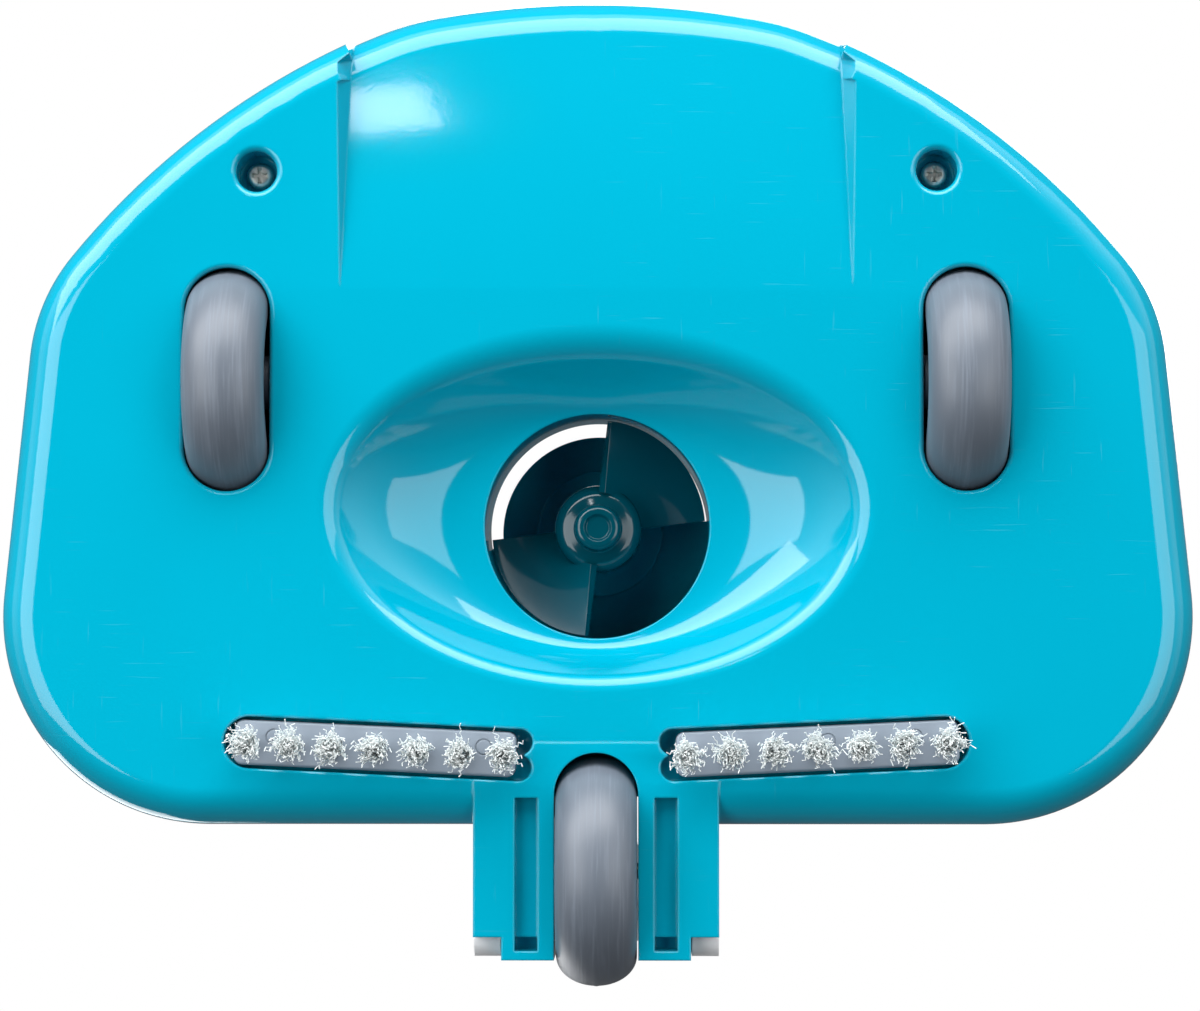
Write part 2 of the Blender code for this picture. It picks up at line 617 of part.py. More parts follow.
def arm_cuts():
    """The rear wheel's slot, the arms' cores and pockets, and the room for the yoke's eyes."""
    nose = REAR_WHEEL_Y - WELL_HALF_LENGTH + ARM_INNER_X
    slot = arc((0, nose), ARM_INNER_X, 180, 360, 12)
    slot += [(ARM_INNER_X, ARM_END_Y + OVERCUT), (-ARM_INNER_X, ARM_END_Y + OVERCUT)]
    cuts = [slab("rear_wheel_slot", slot, GROUND_CLEARANCE - OVERCUT, PARTING_HEIGHT + OVERCUT)]
    core_back = ARM_END_Y - ARM_CORE_END
    half = ARM_CORE_WIDTH / 2
    for side, name in ((-1, "left"), (1, "right")):
        x = ARM_CORE_X * side
        cuts.append(box("arm_core_" + name, (-half, core_back - ARM_CORE_LENGTH, 0),
                        (half, core_back, GROUND_CLEARANCE + ARM_CORE_DEPTH), (x, 0, 0)))
        cuts.append(box("arm_pocket_" + name, (-half, core_back - ARM_POCKET_LENGTH, 0),
                        (half, core_back - STEP_ASIDE, GROUND_CLEARANCE + ARM_POCKET_DEPTH),
                        (x, 0, 0)))
        inner = YOKE_INNER_X - GAP
        outer = ARM_SPAN / 2 + OVERCUT
        low, high = (inner, outer) if side > 0 else (-outer, -inner)
        eye = YOKE_EYE_RADIUS + 2 * GAP
        cuts.append(cylinder("eye_room_" + name, eye, low, high,
                             (0, YOKE_PIVOT_Y, YOKE_PIVOT_HEIGHT), "X", 20))
        cuts.append(box("eye_notch_" + name, (low, 0, -YOKE_PIVOT_HEIGHT), (high, 2 * eye, 2 * eye),
                        (0, YOKE_PIVOT_Y, YOKE_PIVOT_HEIGHT)))
        cuts.append(box("leg_room_" + name, (low, -eye - LEG_ROOM, 0), (high, 2 * eye, 3 * eye),
                        (0, YOKE_PIVOT_Y, YOKE_PIVOT_HEIGHT)))
    return cuts


def hole_x(name, diameter, low, high, y, z, sides=16):
    return cylinder(name, diameter / 2 + GAP, low, high, (0, y, z), "X", sides)


def lower_housing():
    shell = body_volume("lower_housing", 0.0, GROUND_CLEARANCE, PARTING_HEIGHT, UNDER_FILLET)
    hollow = body_volume("lower_hollow", WALL, FLOOR_TOP, PARTING_HEIGHT + OVERCUT,
                         UNDER_FILLET - WALL)
    cut(shell, hollow)
    pockets = [brush_pocket(side) for side in (-1, 1)]
    join(shell, bowl_backing(), arm_block())
    join(shell, *(backing for backing, _ in pockets))
    for side, name in ((-1, "left"), (1, "right")):
        x = FRONT_WHEEL_X * side
        join(shell, wheel_well("well_" + name, x, FRONT_WHEEL_Y))
        cut(shell, well_hollow("well_hollow_" + name, x, FRONT_WHEEL_Y),
            wheel_slot("wheel_slot_" + name, x, FRONT_WHEEL_Y))
        reach = WELL_HALF_WIDTH + AXLE_BEARING_WALL + OVERCUT
        cut(shell, hole_x("axle_hole_" + name, AXLE_DIAMETER, x - reach, x + reach,
                          FRONT_WHEEL_Y, AXLE_HEIGHT))
        place = (UNDER_SCREW_X * side, UNDER_SCREW_Y, 0)
        bore = COUNTERBORE / 2
        seat = GROUND_CLEARANCE + COUNTERBORE_DEPTH
        join(shell, cylinder("screw_boss_" + name, bore + BOSS_WALL, FLOOR_TOP - WALL / 2,
                             seat + WALL, place, sides=24))
        ring = [(math.cos(2 * math.pi * i / 24), math.sin(2 * math.pi * i / 24)) for i in range(24)]
        cut(shell, flared_slot("counterbore_" + name,
                               lambda grow: [((bore + grow) * c, (bore + grow) * s) for c, s in ring],
                               GROUND_CLEARANCE, COUNTERBORE_RIM, seat, place),
            cylinder("screw_way_" + name, SCREW_SHANK / 2 + GAP, seat - OVERCUT,
                     seat + WALL + OVERCUT, place, sides=16))
    cut(shell, bowl_cavity(), *(mouth for _, mouth in pockets), *arm_cuts())
    cut(shell, hole_x("rear_axle_hole", AXLE_DIAMETER, -ARM_SPAN / 2 - OVERCUT,
                      ARM_INNER_X + REAR_AXLE_END + 1 * MM, REAR_WHEEL_Y, AXLE_HEIGHT))
    for side, name in ((-1, "left"), (1, "right")):
        low, high = sorted((side * (ARM_INNER_X + 3 * MM), side * (ARM_SPAN / 2 + OVERCUT)))
        cut(shell, hole_x("yoke_pin_hole_" + name, YOKE_PIN_DIAMETER, low, high, YOKE_PIVOT_Y,
                          YOKE_PIVOT_HEIGHT))
    return finish(shell, "turquoise")


# ---------------------------------------------------------------- top cover

def flange_screw_place(side):
    reach = (RING_RADIUS + FLANGE_FILLET + SCREW_HEAD / 2 + 2 * GAP) * math.sqrt(0.5)
    return (side * reach, THROAT_Y - reach, 0)


def top_cover():
    outline = body_outline()
    seat = PARTING_HEIGHT + GAP
    cover = slab("top_cover", outline, seat, DECK_HEIGHT, top_fillet=DECK_FILLET)
    hollow = slab("cover_hollow", body_outline(WALL), seat - OVERCUT, DECK_HEIGHT - WALL,
                  top_fillet=DECK_FILLET - WALL)
    cut(cover, hollow)
    seat_height = GROUND_CLEARANCE + COUNTERBORE_DEPTH + WALL + GAP
    for side, name in ((-1, "left"), (1, "right")):
        place = (UNDER_SCREW_X * side, UNDER_SCREW_Y, 0)
        join(cover, cylinder("cover_boss_" + name, SCREW_SHANK / 2 + BOSS_WALL, seat_height,
                             DECK_HEIGHT - WALL / 2, place, sides=20))
        cut(cover, cylinder("cover_pilot_" + name, SCREW_SHANK / 2 + GAP, seat_height - OVERCUT,
                            seat_height + UNDER_SCREW_LENGTH, place, sides=12))
        place = flange_screw_place(side)
        join(cover, cylinder("deck_boss_" + name, SCREW_SHANK / 2 + BOSS_WALL,
                             DECK_HEIGHT - LID_SCREW_LENGTH, DECK_HEIGHT - WALL / 2, place, sides=20))
        cut(cover, cylinder("deck_pilot_" + name, SCREW_SHANK / 2 + GAP,
                            DECK_HEIGHT - LID_SCREW_LENGTH - OVERCUT, DECK_HEIGHT + OVERCUT, place,
                            sides=12))
    throat = THROAT_BORE / 2 + WALL + 2 * GAP
    cut(cover, cylinder("throat_way", throat, PARTING_HEIGHT, DECK_HEIGHT + OVERCUT,
                        (0, THROAT_Y, 0), sides=48))
    room = ARM_INNER_X + GAP
    top = max(WHEEL_DIAMETER + WHEEL_END_GAP, DECK_HEIGHT - WALL)
    cut(cover, box("wheel_room", (-room, REAR_WHEEL_Y - WELL_HALF_LENGTH, seat - OVERCUT),
                   (room, BODY_LENGTH + OVERCUT, min(top, DECK_HEIGHT - WALL) - GAP)))
    return finish(cover, "turquoise")


# ---------------------------------------------------------------- wheels and brushes

def wheel_profile():
    """Half a wheel's section round its axle: crowned tread, shallow dished sides, hub and bore."""
    half, radius = WHEEL_WIDTH / 2, WHEEL_DIAMETER / 2
    bore, hub, dish = AXLE_DIAMETER / 2 + GAP, WHEEL_HUB_RADIUS, WHEEL_DISH
    rim = radius - WHEEL_CROWN - WHEEL_RIM
    crown = [(radius - WHEEL_CROWN * (1 - math.cos(a)), half * math.sin(a))
             for a in (math.radians(90 - 30 * i) for i in range(7))]
    side = [(rim, half), (rim - dish, half - dish), (hub, half - dish), (hub, half), (bore, half)]
    return list(reversed(side)) + crown + [(r, -z) for r, z in side]


def wheels():
    rows = (("front_wheel_left", -FRONT_WHEEL_X, FRONT_WHEEL_Y),
            ("front_wheel_right", FRONT_WHEEL_X, FRONT_WHEEL_Y),
            ("rear_wheel", 0.0, REAR_WHEEL_Y))
    for name, x, y in rows:
        wheel = turned(name, wheel_profile(), 28, (x, y, AXLE_HEIGHT), "X", closed=True)
        finish(wheel, "grey")
    front = WELL_HALF_WIDTH + AXLE_BEARING_WALL
    rear = ARM_INNER_X + REAR_AXLE_END
    reaches = (front, front, rear)
    for (name, x, y), reach in zip(rows, reaches):
        axle = cylinder(name.replace("wheel", "axle"), AXLE_DIAMETER / 2, -reach, reach,
                        (x, y, AXLE_HEIGHT), "X", 16)
        finish(axle, "steel")


def tuft_offset(index):
    return (index - (TUFTS - 1) / 2) * TUFT_PITCH


def brushes():
    bottom, top = BRUSH_FACE, BRUSH_FACE + BRUSH_THICK
    shift = 0.4 * MM
    for side, name in ((-1, "left"), (1, "right")):
        place, turn = brush_place(side)
        outline = [(x + shift * side, y) for x, y in
                   rounded_rectangle(BRUSH_LENGTH - 2 * shift, BRUSH_WIDTH, BRUSH_CORNER, 3)]
        plate = slab("brush_plate_" + name, outline, bottom, top, bottom_fillet=0.8 * MM, steps=2,
                     place=place, turn=turn)
        for index in range(TUFTS):
            offset = Matrix.Rotation(math.radians(turn), 4, "Z") @ Vector((tuft_offset(index), 0, 0))
            spot = (place[0] + offset.x, place[1] + offset.y, 0)
            label = "%s_%d" % (name, index + 1)
            cut(plate, cylinder("tuft_hole_" + label, TUFT_ROOT / 2 + GAP, bottom - OVERCUT,
                                bottom + TUFT_HOLE_DEPTH, spot, sides=12))
            tuft = cylinder("tuft_" + label, TUFT_FLARE / 2, TUFT_OFF_GROUND,
                            bottom + TUFT_HOLE_DEPTH - GAP, spot, sides=12, tip=TUFT_ROOT / 2)
            finish(tuft_shape(tuft, bottom), "bristle")
        finish(plate, "plate_grey")


def tuft_shape(tuft, plate_face):
    """Splits the flared cone so that it is straight where it sits in the plate."""
    bm = bmesh.new()
    bm.from_mesh(tuft.data)
    cut_at = plate_face - GAP
    bmesh.ops.bisect_plane(bm, geom=bm.verts[:] + bm.edges[:] + bm.faces[:], dist=WELD,
                           plane_co=(0, 0, cut_at), plane_no=(0, 0, 1))
    for vertex in bm.verts:
        if vertex.co.z > cut_at - WELD:
            radius = math.hypot(vertex.co.x, vertex.co.y)
            vertex.co.x *= TUFT_ROOT / 2 / radius
            vertex.co.y *= TUFT_ROOT / 2 / radius
    bm.to_mesh(tuft.data)
    bm.free()
    return tuft


# ---------------------------------------------------------------- impeller and motor

def hub_profile():
    radius, nose = HUB_DIAMETER / 2, HUB_NOSE_HEIGHT
    tip = radius * 0.52
    neck_top = CUP_BASE_HEIGHT - CUP_BOSS_DROP - 1.5 * MM
    bore = SHAFT_DIAMETER / 2 + GAP
    shoulder = nose + 7 * MM
    bore_floor = shoulder + 8 * MM
    profile = [(0.0, bore_floor), (bore, bore_floor), (bore, neck_top), (radius * 0.62, neck_top),
               (radius * 0.62, neck_top - 8 * MM), (radius, BLADE_TRAIL_HEIGHT + 5 * MM),
               (radius, shoulder + 4 * MM)]
    profile += [(radius - 4 * MM * (1 - math.cos(a)), shoulder + 4 * MM * (1 - math.sin(a)))
                for a in (math.radians(t) for t in (30, 60, 85))]
    profile += [(tip, shoulder - 0.5 * MM), (tip, nose + 3.5 * MM)]
    profile += [(tip * math.cos(a), nose + 3.5 * MM * (1 - math.sin(a)))
                for a in (math.radians(t) for t in (30, 60))]
    profile.append((0.0, nose))
    return profile


def blade(index):
    """One helical blade: an open twisted sheet given its thickness."""
    inner, outer = HUB_DIAMETER / 2 - 2 * MM, THROAT_BORE / 2 - IMPELLER_TIP_GAP
    turns, rows = 6, 2
    start = BLADE_LEAD_ANGLE + 360.0 / IMPELLER_BLADES * index
    bm = bmesh.new()
    grid = []
    for i in range(turns + 1):
        share = i / turns
        angle = math.radians(start + BLADE_SWEEP * share)
        height = BLADE_LEAD_HEIGHT + (BLADE_TRAIL_HEIGHT - BLADE_LEAD_HEIGHT) * share
        line = []
        for j in range(rows + 1):
            radius = inner + (outer - inner) * j / rows
            line.append(bm.verts.new((radius * math.cos(angle), radius * math.sin(angle), height)))
        grid.append(line)
    for i in range(turns):
        for j in range(rows):
            bm.faces.new((grid[i][j], grid[i][j + 1], grid[i + 1][j + 1], grid[i + 1][j]))
    item = add_object("blade_%d" % (index + 1), mesh_from(bm, "blade"), (0, THROAT_Y, 0))
    solid = item.modifiers.new("thickness", "SOLIDIFY")
    solid.thickness = BLADE_THICK
    solid.offset = 0.0
    return item


def impeller():
    hub = turned("impeller", hub_profile(), 28, (0, THROAT_Y, 0))
    join(hub, *(blade(index) for index in range(IMPELLER_BLADES)))
    finish(hub, "turquoise")
    low = HUB_NOSE_HEIGHT + SHAFT_FROM_NOSE
    shaft = cylinder("motor_shaft", SHAFT_DIAMETER / 2, low, MOTOR_BOTTOM + SHAFT_GRIP,
                     (0, THROAT_Y, 0), sides=16)
    finish(shaft, "steel")


def motor():
    radius, bottom = MOTOR_DIAMETER / 2, MOTOR_BOTTOM
    top = bottom + MOTOR_LENGTH
    bore = SHAFT_DIAMETER / 2 + GAP
    bearing, crest, edge = MOTOR_BEARING_RADIUS, top + MOTOR_BEARING_RISE, MOTOR_EDGE
    bore_end = bottom + SHAFT_GRIP + GAP
    profile = [(0.0, crest), (bearing, crest), (bearing, top), (radius - edge, top),
               (radius, top - edge), (radius, bottom + edge), (radius - edge, bottom),
               (bore, bottom), (bore, bore_end), (0.0, bore_end)]
    finish(turned("motor_can", profile, 32, (0, THROAT_Y, 0)), "steel")
    low = CUP_BASE_HEIGHT - CUP_BOSS_DROP + GAP
    high = CUP_BASE_HEIGHT + GAP
    ring = [(bore, high), (SHAFT_SEAL_RADIUS, high), (SHAFT_SEAL_RADIUS, low), (bore, low)]
    finish(turned("shaft_seal", ring, 24, (0, THROAT_Y, 0), closed=True), "rubber")


# ---------------------------------------------------------------- outlet housing

def outlet_housing():
    """Outlet ring with its flange, the motor cup on its shelf, and the battery tub behind."""
    axis = (0, THROAT_Y, 0)
    outer, bore = RING_RADIUS, RING_BORE / 2
    bead = outer + RING_BEAD
    profile = [(bore, RING_HEIGHT), (bead - 0.8 * MM, RING_HEIGHT), (bead, RING_HEIGHT - 0.8 * MM),
               (bead, RING_HEIGHT - RING_BEAD_DEPTH + 0.8 * MM),
               (outer, RING_HEIGHT - RING_BEAD_DEPTH - 1.4 * MM),
               (outer, DECK_SEAT + FLANGE_THICK + 1.5 * FLANGE_FILLET),
               (outer + FLANGE_FILLET, DECK_SEAT + FLANGE_THICK),
               (outer + FLANGE_REACH, DECK_SEAT + FLANGE_THICK), (outer + FLANGE_REACH, DECK_SEAT),
               (bore, DECK_SEAT)]
    ring = turned("outlet_housing", profile, 36, axis, closed=True)
    shelf = cylinder("shelf", bore + RING_WALL / 2, CUP_BASE_HEIGHT,
                     CUP_BASE_HEIGHT + SHELF_THICK, axis, sides=36)
    cut(shelf, box("shelf_front_left", (-2 * outer, -2 * outer, 0), (0, SHELF_FRONT_LEFT, 1), axis),
        box("shelf_front_right", (-OVERCUT, -2 * outer, 0), (2 * outer, SHELF_FRONT_RIGHT, 1), axis))
    cup = cylinder("cup", CUP_DIAMETER / 2, CUP_BASE_HEIGHT, CUP_RIM_HEIGHT, axis, sides=36)
    boss = cylinder("cup_boss", CUP_BOSS_DIAMETER / 2, CUP_BASE_HEIGHT - CUP_BOSS_DROP,
                    CUP_BASE_HEIGHT + WALL / 2, axis, sides=28)
    tub_outline = rounded_rectangle(TUB_WIDTH, TUB_LENGTH, TUB_CORNER)
    tub = slab("tub", tub_outline, DECK_SEAT, TUB_TOP, place=(0, TUB_Y, 0))
    neck = box("neck", (-TUB_NECK / 2, bore + RING_WALL / 3, DECK_SEAT + 0.5 * MM),
               (TUB_NECK / 2, TUB_Y - THROAT_Y, TUB_TOP - 0.5 * MM), axis)
    ear_x = TUB_WIDTH / 2
    ears = []
    for side in (-1, 1):
        middle = side * (PORT_LUG_WIDTH / 2 + GAP + PORT_EAR_WIDTH / 2)
        ears.append(box("port_ear_%d" % (side + 2),
                        (ear_x - WALL / 2, middle - PORT_EAR_WIDTH / 2, -PORT_EAR_HALF),
                        (ear_x + PORT_HINGE_OUT + PORT_EAR_REACH, middle + PORT_EAR_WIDTH / 2,
                         PORT_EAR_HALF),
                        (0, TUB_Y, CELL_HEIGHT + PORT_HINGE_RISE)))
    join(ring, shelf, cup, boss, tub, neck, *ears)
    wall = CUP_WALL
    hollow = slab("tub_hollow", rounded_rectangle(TUB_WIDTH - 2 * wall, TUB_LENGTH - 2 * wall,
                                                  TUB_CORNER - wall / 2), TUB_FLOOR,
                  TUB_TOP + OVERCUT, place=(0, TUB_Y, 0))
    posts = []
    for name, x, y in lid_screw_places():
        posts.append(cylinder("post_" + name, SCREW_SHANK / 2 + BOSS_WALL, TUB_FLOOR - WALL / 2,
                              TUB_TOP - 0.2 * MM, (x, y, 0), sides=20))
    cut(ring, hollow)
    join(ring, *posts)
    cut(ring, cylinder("cup_hollow", CUP_DIAMETER / 2 - CUP_WALL, CUP_FLOOR_TOP,
                       CUP_RIM_HEIGHT + OVERCUT, axis, sides=36))
    cut(ring, cylinder("shaft_way", SHAFT_DIAMETER / 2 + 1 * MM, CUP_BASE_HEIGHT - OVERCUT,
                       CUP_FLOOR_TOP + OVERCUT, axis, sides=20))
    cut(ring, cylinder("seal_seat", SHAFT_SEAL_RADIUS + GAP, CUP_BASE_HEIGHT - CUP_BOSS_DROP - OVERCUT,
                       CUP_BASE_HEIGHT + 2 * GAP, axis, sides=24))
    groove = CUP_DIAMETER / 2 - CUP_WALL / 2
    groove_floor = CUP_RIM_HEIGHT - (SEAL_THICK + 2 * GAP - SEAL_SQUEEZE)
    near, far = groove - SEAL_GROOVE_HALF, groove + SEAL_GROOVE_HALF
    ring_cut = [(near, CUP_RIM_HEIGHT + OVERCUT), (far, CUP_RIM_HEIGHT + OVERCUT),
                (far, groove_floor), (near, groove_floor)]
    cut(ring, turned("seal_groove", ring_cut, 36, axis, closed=True))
    start, end = CUP_DIAMETER / 2 - CUP_WALL - OVERCUT, TUB_Y - THROAT_Y - TUB_LENGTH / 2 + 2 * wall
    cut(ring, cylinder("wire_duct", DUCT_DIAMETER / 2, start, end,
                       (0, THROAT_Y, DUCT_HEIGHT), "Y", 12))
    cut(ring, cylinder("port", JACK_BORE / 2 + GAP, ear_x - 2 * wall, ear_x + OVERCUT,
                       (0, TUB_Y, CELL_HEIGHT), "X", 20))
    pin = PORT_PIN_LENGTH / 2 + OVERCUT
    cut(ring, cylinder("port_pin_hole", PORT_PIN_DIAMETER / 2 + GAP, -pin, pin,
                       (ear_x + PORT_HINGE_OUT, TUB_Y, CELL_HEIGHT + PORT_HINGE_RISE), "Y", 12))
    for name, x, y in lid_screw_places():
        cut(ring, cylinder("post_pilot_" + name, SCREW_SHANK / 2 + GAP,
                           TUB_TOP - LID_SCREW_LENGTH, TUB_TOP + OVERCUT, (x, y, 0), sides=12))
    for side, name in ((-1, "left"), (1, "right")):
        cut(ring, cylinder("flange_hole_" + name, SCREW_SHANK / 2 + GAP, DECK_HEIGHT - OVERCUT,
                           DECK_SEAT + FLANGE_THICK + OVERCUT, flange_screw_place(side), sides=12))
    return finish(ring, "turquoise")


def lid_screw_places():
    x, y = TUB_WIDTH / 2 - LID_SCREW_INSET, TUB_LENGTH / 2 - LID_SCREW_INSET
    return [("%s_%s" % (row, side), sx * x, TUB_Y + sy * y)
            for row, sy in (("front", -1), ("rear", 1)) for side, sx in (("left", -1), ("right", 1))]


def motor_cap():
    """Dome that screws down on the motor cup, with grip flutes."""
    axis = (0, THROAT_Y, 0)
    radius, base = CUP_DIAMETER / 2, CUP_RIM_HEIGHT + GAP
    wall = CUP_WALL
    round_r = CAP_ROUND

    def section(grow, top):
        points = [(0.0, top), (radius + grow - round_r, top)]
        points += [(radius + grow - round_r * (1 - math.sin(a)), top - round_r * (1 - math.cos(a)))
                   for a in (math.radians(t) for t in (30, 60, 90))]
        return points

    outside = section(0.0, CAP_HEIGHT) + [(radius, base), (radius - wall, base)]
    inside = [(r, h) for r, h in reversed(section(-wall, CAP_HEIGHT - wall))]
    cap = turned("motor_cap", outside + inside, 36, axis)
    out = radius + FLUTE_OUT
    for i in range(CAP_FLUTES):
        angle = 2 * math.pi * (i + 0.5) / CAP_FLUTES
        spot = (math.cos(angle) * out, THROAT_Y + math.sin(angle) * out, 0)
        cut(cap, cylinder("flute_%d" % (i + 1), FLUTE_RADIUS, base + FLUTE_FOOT,
                          CAP_HEIGHT + OVERCUT, spot, sides=8))
    finish(cap, "turquoise")
    groove = radius - wall / 2
    ring = [(groove + SEAL_THICK / 2 * math.cos(a), SEAL_THICK / 2 * math.sin(a))
            for a in (2 * math.pi * -i / 6 for i in range(6))]
    seal = turned("motor_cap_seal", ring, 32,
                  (0, THROAT_Y, CUP_RIM_HEIGHT - SEAL_THICK / 2 + 0.15 * MM), closed=True)
    finish(seal, "rubber")


# ---------------------------------------------------------------- battery, lid and switch

def battery_lid():
    lid = slab("battery_lid", rounded_rectangle(TUB_WIDTH, TUB_LENGTH, TUB_CORNER), LID_BOTTOM,
               LID_TOP, top_fillet=1.2 * MM, steps=2, place=(0, TUB_Y, 0))
    cut(lid, cylinder("button_way", BUTTON_DIAMETER / 2 + GAP, LID_BOTTOM - OVERCUT,
                      LID_TOP + OVERCUT, (0, TUB_Y, 0)))
    for name, x, y in lid_screw_places():
        cut(lid, cylinder("lid_hole_" + name, SCREW_SHANK / 2 + GAP, LID_BOTTOM - OVERCUT,
                          LID_TOP + OVERCUT, (x, y, 0), sides=12))
    finish(lid, "turquoise")
    gasket = slab("battery_gasket", rounded_rectangle(TUB_WIDTH - 1.2 * MM, TUB_LENGTH - 1.2 * MM,
                                                      TUB_CORNER - 0.6 * MM),
                  GASKET_BOTTOM, GASKET_BOTTOM + GASKET_THICK, place=(0, TUB_Y, 0))
    inner = slab("gasket_hollow", rounded_rectangle(TUB_WIDTH - 2 * CUP_WALL, TUB_LENGTH - 2 * CUP_WALL,
                                                    TUB_CORNER - CUP_WALL / 2),
                 GASKET_BOTTOM - OVERCUT, GASKET_BOTTOM + OVERCUT, place=(0, TUB_Y, 0))
    cut(gasket, inner)
    for name, x, y in lid_screw_places():
        cut(gasket, cylinder("gasket_hole_" + name, SCREW_SHANK / 2 + GAP, GASKET_BOTTOM - OVERCUT,
                             GASKET_BOTTOM + OVERCUT, (x, y, 0), sides=12))
    finish(gasket, "rubber")


def power_pack():
    for side, name in ((-1, "left"), (1, "right")):
        x = side * CELL_SPACING / 2
        radius, half = CELL_DIAMETER / 2, CELL_LENGTH / 2
        profile = [(0.0, half), (3 * MM, half), (3 * MM, half - 1 * MM), (radius - 0.8 * MM,
                   half - 1 * MM), (radius, half - 1.8 * MM), (radius, 0.8 * MM - half),
                   (radius - 0.8 * MM, -half), (0.0, -half)]
        finish(turned("battery_cell_" + name, profile, 28, (x, TUB_Y, CELL_HEIGHT), "X"), "cell")
    width, length, thick = BOARD_SIZE
    board = box("circuit_board", (-width / 2, -length / 2, BOARD_BOTTOM),
                (width / 2, length / 2, BOARD_BOTTOM + thick), (0, TUB_Y, 0))
    finish(board, "board", smooth=False)
    half, low = SWITCH_SIZE / 2, BOARD_BOTTOM + thick + GAP
    switch = box("power_switch", (-half, -half, low), (half, half, low + SWITCH_HEIGHT),
                 (0, TUB_Y, 0))
    join(switch, cylinder("switch_stem", SWITCH_STEM / 2, low + SWITCH_HEIGHT / 2,
                          low + SWITCH_HEIGHT + SWITCH_STEM_HEIGHT, (0, TUB_Y, 0), sides=16))
    finish(switch, "dark")


def power_button():
    """Push button held under the lid by its flange; its origin is on the lid's face."""
    radius, top = BUTTON_DIAMETER / 2, BUTTON_PROUD
    low = LID_BOTTOM - GAP - LID_TOP
    profile = [(0.0, top - 0.5 * MM), (radius - 3 * MM, top - 0.2 * MM), (radius - 1 * MM, top),
               (radius, top - 1 * MM), (radius, low), (radius + BUTTON_FLANGE, low),
               (radius + BUTTON_FLANGE, low - BUTTON_FLANGE_THICK), (0.0, low - BUTTON_FLANGE_THICK)]
    finish(turned("power_button", profile, 32, (0, TUB_Y, LID_TOP)), "white")


def charge_port():
    inner = TUB_WIDTH / 2 - CUP_WALL - GAP
    radius = JACK_DIAMETER / 2
    bore = JACK_BORE / 2 - 0.6 * MM
    profile = [(0.0, inner - 7 * MM), (bore, inner - 7 * MM), (bore, inner), (radius, inner),
               (radius, inner - JACK_LENGTH), (0.0, inner - JACK_LENGTH)]
    finish(turned("charge_jack", profile, 20, (0, TUB_Y, CELL_HEIGHT), "X"), "dark")
    hinge = (TUB_WIDTH / 2 + PORT_HINGE_OUT, TUB_Y, CELL_HEIGHT + PORT_HINGE_RISE)
    near = -PORT_HINGE_OUT + GAP
    radius = PORT_CAP_DIAMETER / 2
    cap = cylinder("charge_cap", radius, near, near + PORT_CAP_THICK, hinge, "X", 28)
    for vertex in cap.data.vertices:
        vertex.co.z -= PORT_HINGE_RISE
    lug = box("cap_lug", (near, -PORT_LUG_WIDTH / 2, -PORT_HINGE_RISE / 2),
              (near + PORT_CAP_THICK, PORT_LUG_WIDTH / 2, 0.0), hinge)
    knuckle = cylinder("cap_knuckle", 1.7 * MM, -PORT_LUG_WIDTH / 2, PORT_LUG_WIDTH / 2, hinge, "Y",
                       16)
    plug = cylinder("cap_plug", JACK_BORE / 2 - 0.2 * MM, near - 1 * MM, near + 1 * MM,
                    (hinge[0], hinge[1], CELL_HEIGHT), "X", 16)
    join(cap, lug, knuckle, plug)
    cut(cap, cylinder("cap_pin_hole", PORT_PIN_DIAMETER / 2 + GAP, -PORT_LUG_WIDTH,
                      PORT_LUG_WIDTH, hinge, "Y", 12))
    finish(cap, "dark")
    pin = PORT_PIN_LENGTH / 2
    finish(cylinder("charge_cap_pin", PORT_PIN_DIAMETER / 2, -pin, pin, hinge, "Y", 12), "steel")


def motor_leads():
    """Two insulated wires through the shelf, from the motor cup to the battery tub."""
    start = CUP_DIAMETER / 2 - CUP_WALL - 1 * MM
    end = TUB_Y - THROAT_Y - TUB_LENGTH / 2 + CUP_WALL + 2 * MM
    for side, name, colour in ((-1, "black", "rubber"), (1, "red", "red")):
        lead = cylinder("motor_lead_" + name, LEAD_DIAMETER / 2, start, end,
                        (side * LEAD_PITCH / 2, THROAT_Y, DUCT_HEIGHT), "Y", 10)
        finish(lead, colour)


# ---------------------------------------------------------------- pole yoke

